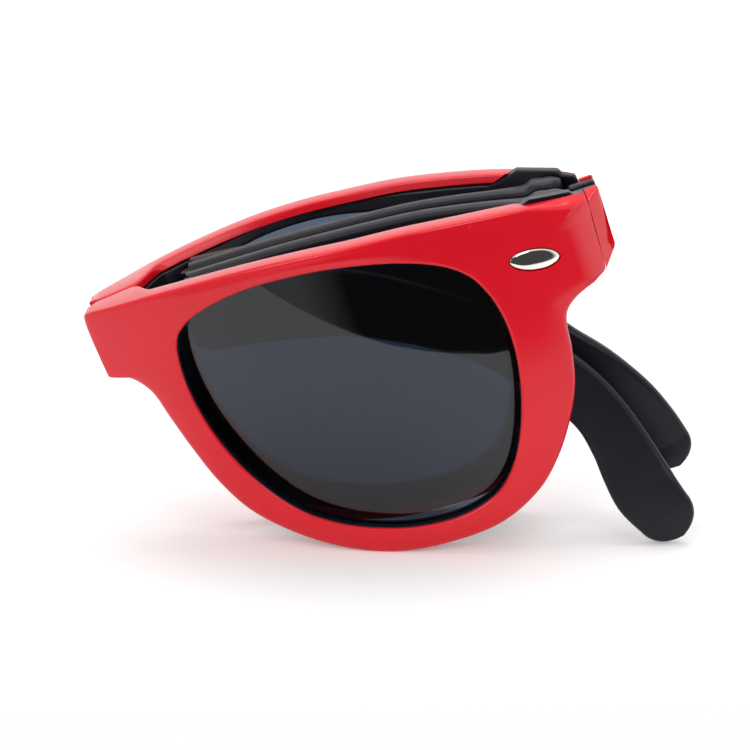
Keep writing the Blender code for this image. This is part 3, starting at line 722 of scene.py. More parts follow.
@dataclass
class FrontForm:
    """The outlines and the curved layers that all pieces of one front half share."""

    outline: Stations = field(default_factory=lambda: [
        (0.4, -0.2), (4.1, 0.2), (10.3, 0.8), (17.8, 1.2), (24.9, 1.3), (31.7, 1.0), (38.4, 0.4),
        (45.0, -0.2), (51.5, -1.2), (58.1, -2.4), (63.4, -3.6), (68.9, -4.9), (69.8, -5.9),
        (69.7, -11.0), (69.6, -16.0), (68.8, -16.9), (65.2, -17.9), (63.0, -19.3), (62.2, -21.6),
        (61.9, -25.0), (60.9, -30.0), (58.9, -34.6), (55.6, -39.6), (51.4, -43.5), (45.2, -46.1),
        (37.5, -46.5), (30.4, -45.7), (23.9, -43.4), (17.7, -39.6), (12.4, -34.7), (9.3, -29.2),
        (7.4, -23.4), (6.0, -17.9), (4.9, -13.5), (2.5, -10.9), (-0.3, -10.4), (-0.9, -9.6),
        (-0.9, -5.0), (-0.5, -1.0)])
    opening: Stations = field(default_factory=lambda: [
        (11.3, -7.0), (13.5, -4.4), (17.1, -2.7), (22.5, -1.5), (28.2, -1.3), (34.9, -1.9),
        (42.5, -3.7), (48.2, -6.2), (51.6, -9.1), (53.3, -12.4), (54.2, -15.8), (54.5, -19.6),
        (54.2, -24.1), (53.2, -29.1), (51.5, -34.1), (49.2, -38.3), (46.1, -41.3), (41.5, -42.8),
        (35.9, -42.8), (30.1, -41.6), (23.9, -39.1), (18.9, -35.5), (14.9, -30.1), (12.3, -24.4),
        (10.8, -18.4), (10.4, -12.4)])
    # how points of the outline and the opening are matched
    centre: tuple[float, float] = (33.0, -14.0)
    around: int = 420
    fine_steps: int = 40
    least_turn: float = 1e-6
    least_square: float = 0.55
    # the front surface
    bridge_depth: float = 5.2
    fold_angle: float = 5.37
    base_curve: float = 9.1
    curve_length: float = 66.0
    lean_angle: float = 10.0
    # the section of the two layers, with the lens between them
    shell_depth: float = 2.0
    rim_depth: float = 4.2
    layer_gap: float = 0.2
    edge_round: float = 0.7
    lip_round: float = 0.5
    back_round: float = 0.35
    crown: float = 0.15
    wall: float = 1.3
    collar: float = 0.5
    lip: float = 0.4
    lens_front: float = 2.6
    lens_thickness: float = 0.9
    lens_seat: float = 0.1
    # the thick bridge, which reaches back to the middle plane
    middle_gap: float = 0.2
    pad_start: float = 6.5
    pad_end: float = 10.2
    open_angle: float = 162.0
    # gaps, and how far a cutting tool reaches past what it cuts
    seat_gap: float = 0.15
    hinge_gap: float = 0.2
    pin_gap: float = 0.08
    reach: float = 30.0
    # the end piece: its upright corner, its falling top and where the black layer is open
    corner_x: float = 67.5
    corner_slope: float = 0.8
    corner_soft: float = 0.2
    top_fall: float = 1.0
    end_start: float = 61.0
    end_soft: float = 0.3
    end_bottom: float = -17.5
    top_zone: tuple[float, float] = (-9.0, -5.5)
    # how the lens leans forward
    lens_tilt: float = 0.8
    lens_near_x: float = 14.0
    lens_far_x: float = 50.0
    # the bridge hinge
    leaf_low: tuple[float, float, float] = (0.0, -1.1, -9.0)
    leaf_high: tuple[float, float, float] = (6.0, -0.3, -1.7)
    barrel_radius: float = 1.2

    def __post_init__(self) -> None:
        """Matches points of the outer outline and the lens opening along rays from the centre."""
        fine = smooth_curve(self.outline, self.fine_steps * len(self.outline), True)
        length = np.concatenate([[0.0], np.cumsum(np.linalg.norm(np.roll(fine, -1, 0) - fine, axis=1))])
        want = length[-1] * np.arange(self.around) / self.around
        loop = np.concatenate([fine, fine[:1]])
        outer = np.stack([np.interp(want, length, loop[:, k]) for k in range(2)], -1) - self.centre
        angles = np.unwrap(np.arctan2(outer[:, 1], outer[:, 0]))
        angles = np.minimum.accumulate(angles) - self.least_turn * np.arange(self.around)
        reach = np.linalg.norm(outer, axis=1)[:, None]
        self.outer = np.stack([np.cos(angles), np.sin(angles)], -1) * reach + self.centre
        self.inner = self.cross(self.opening, angles)
        self.ray = self.outer - self.inner
        self.ray /= np.linalg.norm(self.ray, axis=1)[:, None]
        self.outer_square = self.square(self.outer)
        self.inner_square = self.square(self.inner)

    def cross(self, points: Stations, angles: Array) -> Array:
        """Finds where rays from the centre cross a closed outline.

        Args:
            points: the outline's points.
            angles: directions of the rays, in radians.

        Returns:
            One point of the outline a row.
        """
        fine = smooth_curve(points, self.fine_steps * len(points), True) - self.centre
        turn = np.arctan2(fine[:, 1], fine[:, 0])
        order = np.argsort(turn)
        radius = np.interp(angles, turn[order], np.linalg.norm(fine, axis=1)[order], period=2.0 * math.pi)
        return np.stack([np.cos(angles), np.sin(angles)], -1) * radius[:, None] + self.centre

    def square(self, line: Array) -> Array:
        """Works out how squarely each ray meets an outline.

        Args:
            line: one point of the outline for each ray.

        Returns:
            The sine between the outline and its ray, kept away from zero.
        """
        along = np.roll(line, -1, 0) - np.roll(line, 1, 0)
        along /= np.linalg.norm(along, axis=1)[:, None]
        sine = np.abs(along[:, 0] * self.ray[:, 1] - along[:, 1] * self.ray[:, 0])
        return np.maximum(sine, self.least_square)

    def front(self, x: Array, z: Array) -> Array:
        """Works out the front surface.

        Formula: minus the sum of the bridge depth, x times the tangent of the fold angle, a
        parabola that bulges by the base curve at the middle, and z times the tangent of the lean.

        Args:
            x: distances from the bridge hinge.
            z: heights.

        Returns:
            The y of the surface.
        """
        share = x / self.curve_length
        chord = self.bridge_depth + x * math.tan(math.radians(self.fold_angle))
        return -(chord + 4.0 * self.base_curve * share * (1.0 - share)
                 + z * math.tan(math.radians(self.lean_angle)))

    def at_depth(self, x: Array, z: Array, depth: Array) -> Array:
        """Works out points that lie behind the front surface.

        Formula: the layers are squeezed where the bridge comes close to the middle plane, and the
        inner layer is stretched back to that plane where the thick bridge is. Towards the end
        piece, the face falls back past the corner and its top is lowered.

        Args:
            x: distances from the bridge hinge.
            z: heights.
            depth: how far the points lie behind the front surface.

        Returns:
            The points.
        """
        front = self.front(x, z)
        shrink = np.minimum(1.0, (-self.middle_gap - front) / self.rim_depth)
        thin = smooth_step(self.pad_start, self.pad_end, x)
        back = -self.middle_gap * (1.0 - thin) + (front + self.rim_depth * shrink) * thin
        split = self.shell_depth + self.layer_gap
        layer = front + split * shrink
        share = (depth - split) / (self.rim_depth - split)
        y = np.where(depth <= split, front + depth * shrink, layer + (back - layer) * share)
        y = y + self.corner_fall(x) * np.clip(1.0 - depth / self.rim_depth, 0.0, 1.0)
        lowered = self.top_fall * smooth_step(self.end_start, self.corner_x, x) * self.near_top(z)
        return np.stack([x, y, z - lowered * np.clip(1.0 - depth / self.shell_depth, 0.0, 1.0)], -1)

    def near_top(self, z: Array) -> Array:
        """Returns 1 at the top of the front and 0 below it, with an even blend."""
        return smooth_step(*self.top_zone, z)

    def corner_fall(self, x: Array) -> Array:
        """Returns how far the face falls back past the corner of the end piece.

        Formula: half the slope times the sum of d and the root of d squared plus the softness
        squared, where d is the distance past the corner.
        """
        past = x - self.corner_x
        return 0.5 * self.corner_slope * (past + np.sqrt(past ** 2 + self.corner_soft ** 2))

    def open_end(self) -> Array:
        """Marks the end piece, where the inner layer reaches the outline.

        Returns:
            1 there and 0 elsewhere, for every point of the rim.
        """
        x, z = self.outer.T
        beyond = smooth_step(self.end_start - self.end_soft, self.end_start + self.end_soft, x)
        return beyond * (z > self.end_bottom)

    def lens_rise(self, x: Array) -> Array:
        """Returns how much further forward the lens sits than at the bridge, growing evenly with x."""
        share = (x - self.lens_near_x) / (self.lens_far_x - self.lens_near_x)
        return self.lens_tilt * np.clip(share, 0.0, 1.0)

    def all_round(self, profile: Array) -> Array:
        """Returns share, distance and depth of a profile at every point of the rim."""
        return np.broadcast_to(profile.T[:, None, :], (3, self.around, len(profile))).copy()

    def sweep(self, share: Array, distance: Array, depth: Array) -> Array:
        """Carries a section round the rim.

        Args:
            share: 0 at the outer outline and 1 at the lens opening.
            distance: how far into the rim a point lies from either.
            depth: how far it lies behind the front surface.

        Returns:
            Sections as rows x columns x 3.
        """
        ray = self.ray[:, None, :]
        out = self.outer[:, None, :] - ray * (distance / self.outer_square[:, None])[..., None]
        hole = self.inner[:, None, :] + ray * (distance / self.inner_square[:, None])[..., None]
        spot = out * (1.0 - share)[..., None] + hole * share[..., None]
        return self.at_depth(spot[..., 0], spot[..., 1], depth)

    def leaf_seat(self) -> bpy.types.Mesh:
        """Makes the recess that a leaf of the bridge hinge lies in.

        Returns:
            The closed mesh to cut away.
        """
        gap = self.seat_gap
        return block((-self.reach, self.leaf_low[1] - gap, self.leaf_low[2] - gap),
                     (self.leaf_high[0] + gap, self.reach, self.leaf_high[2] + gap))

    def barrel_channel(self) -> bpy.types.Mesh:
        """Makes the upright channel that clears the barrel of the bridge hinge."""
        return post(0.0, 0.0, self.barrel_radius + self.hinge_gap, -self.reach, self.reach)

    def butt_cutter(self) -> bpy.types.Mesh:
        """Makes the block beyond the plane where the halves meet when the front is open.

        Returns:
            The closed mesh to cut away.
        """
        cutter = block((-self.reach,) * 3, (self.seat_gap / 2.0, self.reach, self.reach))
        cutter.transform(Matrix.Rotation(math.radians(self.open_angle / 2.0 - 90.0), 4, "Z"))
        return cutter


@dataclass
class TempleHinge:
    """Sizes of the hinge between a front half and its temple."""

    x: float = 65.2
    y: float = -3.9
    radius: float = 2.3
    top: float = -4.2
    bottom: float = -16.0
    lug_radius: float = 2.1
    lug_top: float = -8.4
    lug_bottom: float = -12.4
    pin_radius: float = 0.7
    head_radius: float = 1.2
    head_height: float = 0.5
    pocket_start: float = 60.8
    pocket_steps: int = 25
    clear: float = 2.7

    @property
    def lining_x(self) -> float:
        """Returns where the pocket ends beside the hinge."""
        return self.x + self.clear

    def pocket(self, form: FrontForm) -> bpy.types.Mesh:
        """Makes the pocket behind the end piece where the folded temple's hinge end lies.

        Formula: an upright prism; its plan has a straight side, a quarter circle round the
        hinge axis and another straight side.

        Args:
            form: the front half that the pocket is cut into.

        Returns:
            The closed mesh to cut away.
        """
        turn = np.radians(np.linspace(-90.0, 0.0, self.pocket_steps))
        x = np.concatenate([[self.pocket_start] * 2, self.x + self.clear * np.cos(turn), [self.lining_x]])
        y = np.concatenate([[form.reach, self.y - self.clear], self.y + self.clear * np.sin(turn),
                            [form.reach]])
        levels = (self.bottom - 2.0 * form.hinge_gap, form.reach)
        return bar_mesh(np.stack([np.stack([x, y, np.full(len(x), z)], -1) for z in levels]), True)


def arc(turns: Array, share: float, radius: float, start: float, sign: float) -> Array:
    """Works out the profile rows that round a corner.

    Formula: distance is radius times one minus the cosine, and depth is start plus sign times
    radius times one minus the sine, of each angle.

    Args:
        turns: the angles, in degrees.
        share: 0 at the outer outline and 1 at the lens opening.
        radius: radius of the rounding.
        start: depth of the face that the rounding ends in.
        sign: 1 for a front face and -1 for a back face.

    Returns:
        Rows of share, distance and depth.
    """
    angle = np.radians(turns)
    return np.stack([np.full(len(turns), share), radius * (1.0 - np.cos(angle)),
                     start + sign * radius * (1.0 - np.sin(angle))], -1)


@dataclass
class FrontShell:
    """The red front layer of one half: rim, wrapped wall, end cap and oval inlay."""

    form: FrontForm
    hinge: TempleHinge
    # the section, and how it changes towards the seam and at the end piece
    face_points: int = 13
    back_points: int = 7
    edge_points: int = 7
    lip_points: int = 5
    wall_soft: float = 0.1
    wall_cut: float = 0.97
    seam_keenness: float = 0.85
    seam_zone: tuple[float, float] = (1.2, 0.4)
    # the inlay: its place, its dome and what lies under it
    inlay_centre: tuple[float, float] = (60.7, -10.4)
    inlay_half: tuple[float, float] = (3.42, 1.46)
    inlay_tilt: float = 18.2
    inlay_drawn: float = 0.12
    inlay_sink: float = 0.6
    inlay_proud: float = 0.35
    inlay_rings: int = 22
    inlay_hub: float = 0.06
    inlay_falls: tuple[float, float] = (0.55, 0.45)
    inlay_foot: float = 0.1
    inlay_under: tuple[float, float, float] = (1.0, 0.9, 0.2)
    # the end cap
    cap_start: float = 69.88
    cap_lean: float = 0.02
    cap_end: float = 71.8
    cap_top: float = -5.3
    cap_top_fall: float = 0.3
    cap_top_run: float = 2.0
    cap_bottom: float = -16.7
    cap_slant: float = 2.3
    cap_back: float = -3.1
    cap_round: float = 0.4
    cap_rows: int = 5
    cap_row_gap: float = 0.1
    cap_steps: int = 8

    def profile(self) -> Array:
        """Works out the shell's section: rounded face, ledge over the collar, back face and wall.

        Returns:
            Rows of share, distance and depth.
        """
        form = self.form
        across = between(0.0, 1.0, self.face_points)
        inset = form.edge_round + (form.lip_round - form.edge_round) * across
        face = np.stack([across, inset, -form.crown * (1.0 - (2.0 * across - 1.0) ** 2)], -1)
        ledge = form.collar + form.seat_gap
        behind = between(1.0, 0.0, self.back_points)
        back = np.stack([behind, form.wall + (ledge - form.wall) * behind,
                         np.full(self.back_points, form.shell_depth)], -1)
        return np.concatenate([
            arc(np.linspace(0.0, 90.0, self.edge_points), 0.0, form.edge_round, 0.0, 1.0), face,
            arc(np.linspace(90.0, 0.0, self.edge_points), 1.0, form.lip_round, 0.0, 1.0),
            [(1.0, ledge, form.lip_round), (1.0, ledge, form.shell_depth)], back,
            [(0.0, form.wall, form.shell_depth), (0.0, form.wall, form.rim_depth - self.wall_soft),
             (0.0, form.wall - self.wall_soft, form.rim_depth)],
            arc(np.linspace(90.0, 0.0, self.lip_points), 0.0, form.back_round, form.rim_depth, -1.0)])

    def layers(self) -> Array:
        """Sweeps the section round the rim, with a keen edge at the seam and no wall at the end.

        Returns:
            Sections as rows x columns x 3.
        """
        form = self.form
        share, distance, depth = form.all_round(self.profile())
        zone_start, zone_end = (self.cap_start - run for run in self.seam_zone)
        keen = 1.0 - self.seam_keenness * smooth_step(zone_start, zone_end, form.outer[:, :1])
        distance[:, :self.edge_points] *= keen
        depth[:, :self.edge_points] *= keen
        wall = np.maximum(depth - form.shell_depth, 0.0)
        depth -= wall * self.wall_cut * form.open_end()[:, None]
        return form.sweep(share, distance, depth)

    def oval(self, grow: float, rings: Array, heights: Array, steps: int = 96) -> bpy.types.Mesh:
        """Makes a closed oval that follows the front surface.

        Formula: ring r is an ellipse with its ends drawn out a little, at r times the half
        sizes, and lies its own height ahead of the front surface.

        Args:
            grow: how much larger than the inlay the oval is.
            rings: shares of the full size, from the front middle to the back middle.
            heights: distance of each ring ahead of the front surface.
            steps: points in each ring.

        Returns:
            The closed mesh.
        """
        angle = 2.0 * math.pi * np.arange(steps) / steps
        tilt = math.radians(self.inlay_tilt)
        u = rings[:, None] * (self.inlay_half[0] + grow) * np.cos(angle)
        v = rings[:, None] * (self.inlay_half[1] + grow) * np.sin(angle)
        v = v * (1.0 - self.inlay_drawn * np.cos(angle) ** 4)
        x = self.inlay_centre[0] + u * math.cos(tilt) + v * math.sin(tilt)
        z = self.inlay_centre[1] - u * math.sin(tilt) + v * math.cos(tilt)
        return bar_mesh(np.stack([x, self.form.front(x, z) - heights[:, None], z], -1))

    def shell(self) -> bpy.types.Mesh:
        """Makes the rim with its recess for the inlay and its hinge pockets.

        Returns:
            The closed mesh.
        """
        form = self.form
        recess = self.oval(form.seat_gap, np.array([1.0, 1.0]),
                           np.array([form.reach, -self.inlay_sink - form.seat_gap]))
        return combine(ring_mesh(self.layers()), [
            (Join.CUT, recess), (Join.CUT, self.hinge.pocket(form)), (Join.CUT, form.leaf_seat()),
            (Join.CUT, form.barrel_channel()), (Join.CUT, form.butt_cutter())])

    def inlay(self) -> bpy.types.Mesh:
        """Makes the domed metal oval with its rounded edge.

        Formula: the dome falls by a little over half of its height with the square of the share
        from the middle, and by the rest with the tenth power, close to the edge.

        Returns:
            The closed mesh.
        """
        wide, steep = self.inlay_falls
        bottom = -self.inlay_sink
        dome = np.linspace(self.inlay_hub, 1.0, self.inlay_rings)
        heights = self.inlay_proud * (1.0 - wide * dome ** 2 - steep * dome ** 10)
        rings = np.concatenate([dome, self.inlay_under])
        return self.oval(0.0, rings, np.concatenate([heights, [bottom + self.inlay_foot, bottom, bottom]]))

    def end_cap(self) -> bpy.types.Mesh:
        """Makes the block that closes the end of the front.

        Formula: rounded rectangles along x, set in at the outer end. Their bottom rises evenly
        towards that end, their top falls towards the front, and their front edge is bent to the
        face beyond the corner of the end piece.

        Returns:
            The closed mesh.
        """
        form = self.form
        turn = np.radians(np.linspace(0.0, 90.0, self.cap_steps))
        inset = np.concatenate([np.zeros(self.cap_rows), self.cap_round * (1.0 - np.cos(turn))])
        x = np.concatenate([
            np.linspace(self.cap_start, self.cap_end - self.cap_round - self.cap_row_gap, self.cap_rows),
            self.cap_end - self.cap_round * (1.0 - np.sin(turn))])
        low = self.cap_bottom + self.cap_slant * (x - self.cap_start) / (self.cap_end - self.cap_start)
        half_z = (self.cap_top - low) / 2.0
        corner = np.full(len(x), self.cap_round)
        u, v = rounded_rectangle(np.ones(len(x)), half_z - inset, corner, self.cap_steps)
        z = ((self.cap_top + low) / 2.0)[:, None] + v
        forward = (1.0 - u) / 2.0
        px = x[:, None] + self.cap_lean * (z - self.cap_top) * (x[-1] - x[:, None]) / (x[-1] - x[0])
        front = form.front(px, z) + form.corner_fall(px) + inset[:, None]
        back = self.cap_back - inset[:, None]
        y = back + (front - back) * forward
        top_share = np.clip((z - self.cap_top + self.cap_top_run) / self.cap_top_run, 0.0, 1.0)
        return bar_mesh(np.stack([px, y, z - self.cap_top_fall * (self.cap_back - y) * top_share], -1))

    def dress(self, placer: Placer, finishes: Finishes) -> None:
        """Places the shell, end cap and inlay on both halves.

        Args:
            placer: what takes the meshes to their places.
            finishes: the materials.
        """
        shapes = {"front_shell": (self.shell(), finishes.red, "red_gloss"),
                  "end_cap": (self.end_cap(), finishes.red, "red_gloss"),
                  "inlay": (self.inlay(), finishes.metal, "bright_metal")}
        for side in Side:
            for name, (mesh, look, slot) in shapes.items():
                node = f"{side.value}_{name}"
                placer.place(mesh, side, node + "_skin", side.value + "_half", node, slot, look)


@dataclass
class BackFrame:
    """The black inner layer of one half, with the hinge lug, the lining and the flange."""

    form: FrontForm
    hinge: TempleHinge
    # the section
    face_points: int = 7
    back_points: int = 11
    edge_points: int = 6
    collar_soft: float = 0.08
    slot_soft: float = 0.06
    edge_gap: float = 0.05
    # the lug, the lining and the flange
    lug_root: float = 0.52
    lining_thickness: float = 0.3
    lining_top: float = -7.0
    lining_bottom: float = -13.6
    flange_top: float = -5.7
    flange_bottom: float = -14.4
    flange_round: float = 0.45
    flange_end: float = 71.8
    flange_front: float = -2.9
    end_wall_back: float = -1.0
    # the crest along the top of the end piece
    crest: float = 0.6
    crest_end: float = 68.5
    crest_run: float = 2.0

    def profile(self) -> Array:
        """Works out the frame's section: flat front, collar, lens slot and rounded back.

        Returns:
            Rows of share, distance and depth.
        """
        form = self.form
        front = form.shell_depth + form.layer_gap
        collar_front = form.lip_round + form.seat_gap
        slot_front = form.lens_front - form.lens_seat
        slot_back = form.lens_front + form.lens_thickness + form.lens_seat
        soft = form.back_round
        outside = form.wall + form.layer_gap
        across = between(0.0, 1.0, self.face_points)
        face = np.stack([across, outside + (form.collar - outside) * across,
                         np.full(self.face_points, front)], -1)
        behind = between(1.0, 0.0, self.back_points)
        back = np.stack([behind, soft + outside * (1.0 - behind),
                         np.full(self.back_points, form.rim_depth)], -1)
        inner = arc(np.linspace(0.0, 90.0, self.edge_points), 1.0, soft, form.rim_depth, -1.0)
        outer = arc(np.linspace(90.0, 0.0, self.edge_points), 0.0, soft, form.rim_depth, -1.0)
        outer[:, 1] += outside
        return np.concatenate([
            [(0.0, outside, front)], face,
            [(1.0, form.collar, front), (1.0, form.collar, collar_front),
             (1.0, self.collar_soft, collar_front), (1.0, 0.0, collar_front + self.collar_soft),
             (1.0, 0.0, slot_front - self.slot_soft), (1.0, self.slot_soft, slot_front),
             (1.0, form.lip, slot_front), (1.0, form.lip, slot_back), (1.0, 0.0, slot_back)],
            inner, back, outer])

    def layers(self) -> Array:
        """Sweeps the section round the rim.

        Formula: the rows of the lens slot move forward with the lens, and at the end piece the
        outer rows move out to the outline and, along its top, a crest further.

        Returns:
            Sections as rows x columns x 3.
        """
        form = self.form
        share, distance, depth = form.all_round(self.profile())
        near_lens = np.abs(depth - form.lens_front) < form.lens_thickness + 2.0 * form.lens_seat
        slot = (share == 1.0) & (distance < form.collar) & near_lens
        depth -= slot * form.lens_rise(form.inner[:, :1])
        x, z = form.outer.T
        before_cap = 1.0 - smooth_step(self.crest_end - self.crest_run, self.crest_end, x)
        crest = self.crest * form.near_top(z) * before_cap
        outwards = (form.wall + form.layer_gap - self.edge_gap + crest) * form.open_end()
        distance -= (share == 0.0) * outwards[:, None]
        return form.sweep(share, distance, depth)

    def lug(self) -> bpy.types.Mesh:
        """Makes the tongue that the temple's fork turns round.

        Returns:
            The closed mesh.
        """
        hinge = self.hinge
        root = hinge.y - hinge.radius - self.lug_root
        foot = block((hinge.x - hinge.lug_radius, root, hinge.lug_bottom),
                     (hinge.x + hinge.lug_radius / 2.0, hinge.y, hinge.lug_top))
        tongue = post(hinge.x, hinge.y, hinge.lug_radius, hinge.lug_bottom, hinge.lug_top)
        return combine(tongue, [(Join.ADD, foot)])

    def lining(self) -> bpy.types.Mesh:
        """Makes the wall beside the hinge and the flange behind the end cap.

        Returns:
            The closed mesh.
        """
        hinge = self.hinge
        form = self.form
        wall_front = float(form.front(np.array(hinge.lining_x), np.array(hinge.bottom)))
        wall_front += form.shell_depth + 2.0 * form.layer_gap
        start = hinge.lining_x + form.seat_gap / 3.0
        wall = block((start, wall_front, self.lining_bottom),
                     (hinge.lining_x + self.lining_thickness, self.end_wall_back, self.lining_top))
        flange = block((start, self.flange_front, self.flange_bottom),
                       (self.flange_end, self.end_wall_back, self.flange_top), self.flange_round)
        return combine(wall, [(Join.ADD, flange)])

    def frame(self) -> bpy.types.Mesh:
        """Makes the whole inner layer.

        Returns:
            The closed mesh.
        """
        form = self.form
        hinge = self.hinge
        pin_hole = post(hinge.x, hinge.y, hinge.pin_radius + form.pin_gap, -form.reach, form.reach)
        return combine(ring_mesh(self.layers()), [
            (Join.CUT, hinge.pocket(form)), (Join.ADD, self.lining()), (Join.ADD, self.lug()),
            (Join.CUT, pin_hole), (Join.CUT, form.leaf_seat()), (Join.CUT, form.barrel_channel()),
            (Join.CUT, form.butt_cutter())])

    def dress(self, placer: Placer, finishes: Finishes) -> None:
        """Places the inner layer on both halves.

        Args:
            placer: what takes the meshes to their places.
            finishes: the materials.
        """
        mesh = self.frame()
        for side in Side:
            node = side.value + "_back_frame"
            placer.place(mesh, side, node + "_skin", side.value + "_half", node, "black_satin",
                         finishes.black_inner)


@dataclass
class Lens:
    """The curved, tinted lens of one half."""

    form: FrontForm
    rings: int = 36
    edge_steps: int = 5
    edge_bulge: float = 0.06
    centre: tuple[float, float] = (33.0, -21.5)
    hub: float = 0.02
    ring_spread: float = 0.9
    crown: float = 0.3
    smooth_angle: float = 50.0

    def surface(self) -> bpy.types.Mesh:
        """Makes the lens.

        Formula: each ring is the lens edge drawn towards the centre by a share; the front and
        the back follow the front surface at their own depths, raised by a crown that falls with
        the square of the share, and a half circle joins them.

        Returns:
            The closed mesh.
        """
        form = self.form
        half = form.lens_thickness / 2.0
        edge = form.inner + form.ray * ((form.lip - form.lens_seat) / form.inner_square)[:, None]
        share = np.linspace(self.hub, 1.0, self.rings) ** self.ring_spread
        turn = np.radians(between(0.0, 180.0, self.edge_steps))
        shares = np.concatenate([share, np.ones(self.edge_steps), share[::-1]])
        grow = np.concatenate([np.zeros(self.rings), self.edge_bulge * np.sin(turn), np.zeros(self.rings)])
        depth = np.concatenate([np.zeros(self.rings), half * (1.0 - np.cos(turn)),
                                np.full(self.rings, 2.0 * half)])
        offset = edge - self.centre
        size = np.linalg.norm(offset, axis=1)[:, None]
        spot = self.centre + offset[None] * (shares[:, None, None] + grow[:, None, None] / size[None])
        dome = self.crown * (1.0 - shares ** 2)
        layer = (form.lens_front + depth - dome)[:, None] - form.lens_rise(spot[..., 0])
        return bar_mesh(form.at_depth(spot[..., 0], spot[..., 1], layer))

    def dress(self, placer: Placer, finishes: Finishes) -> None:
        """Places the lens on both halves.

        Args:
            placer: what takes the meshes to their places.
            finishes: the materials.
        """
        mesh = self.surface()
        for side in Side:
            node = side.value + "_lens"
            placer.place(mesh, side, node + "_skin", side.value + "_half", node, "smoke_lens",
                         finishes.smoke, self.smooth_angle)


@dataclass(frozen=True)
class Knuckles:
    """The interleaved knuckles of a hinge between two leaves, and the pin through them."""

    x: float
    y: float
    radius: float
    pin_radius: float
    bottom: float
    top: float
    count: int
    edge: float
    pin_edge: float
    pin_short: float = 0.1

    def spans(self, own: bool, gap: float) -> list[tuple[float, float]]:
        """Works out the heights of every other knuckle, each short of its neighbour.

        Args:
            own: whether to take the lowest knuckle and every second one after it, or the rest.
            gap: room between two neighbours, of which each gives up half.

        Returns:
            The lower and the upper height of each knuckle.
        """
        step = (self.top - self.bottom) / self.count
        half = gap / 2.0
        return [(self.bottom + k * step + (half if k else 0.0),
                 self.bottom + (k + 1) * step - (half if k < self.count - 1 else 0.0))
                for k in range(self.count) if (k % 2 == 0) == own]

    def steps(self, own: bool, form: FrontForm) -> Steps:
        """Works out the steps that turn a plain leaf into one with knuckles.

        Args:
            own: whether the leaf has the lowest knuckle.
            form: the front half, for its gaps.

        Returns:
            The Boolean steps that add its knuckles, clear the other leaf's and cut the pin hole.
        """
        gap = form.hinge_gap
        added = [(Join.ADD, post(self.x, self.y, self.radius, low, high, self.edge))
                 for low, high in self.spans(own, gap)]
        cleared = [(Join.CUT, post(self.x, self.y, self.radius + gap, low - gap, high + gap))
                   for low, high in self.spans(not own, gap)]
        hole = post(self.x, self.y, self.pin_radius + form.pin_gap, -form.reach, form.reach)
        return added + cleared + [(Join.CUT, hole)]

    def pin(self) -> bpy.types.Mesh:
        """Makes the pin, a little short of the hinge at both ends."""
        return post(self.x, self.y, self.pin_radius, self.bottom + self.pin_short,
                    self.top - self.pin_short, self.pin_edge)


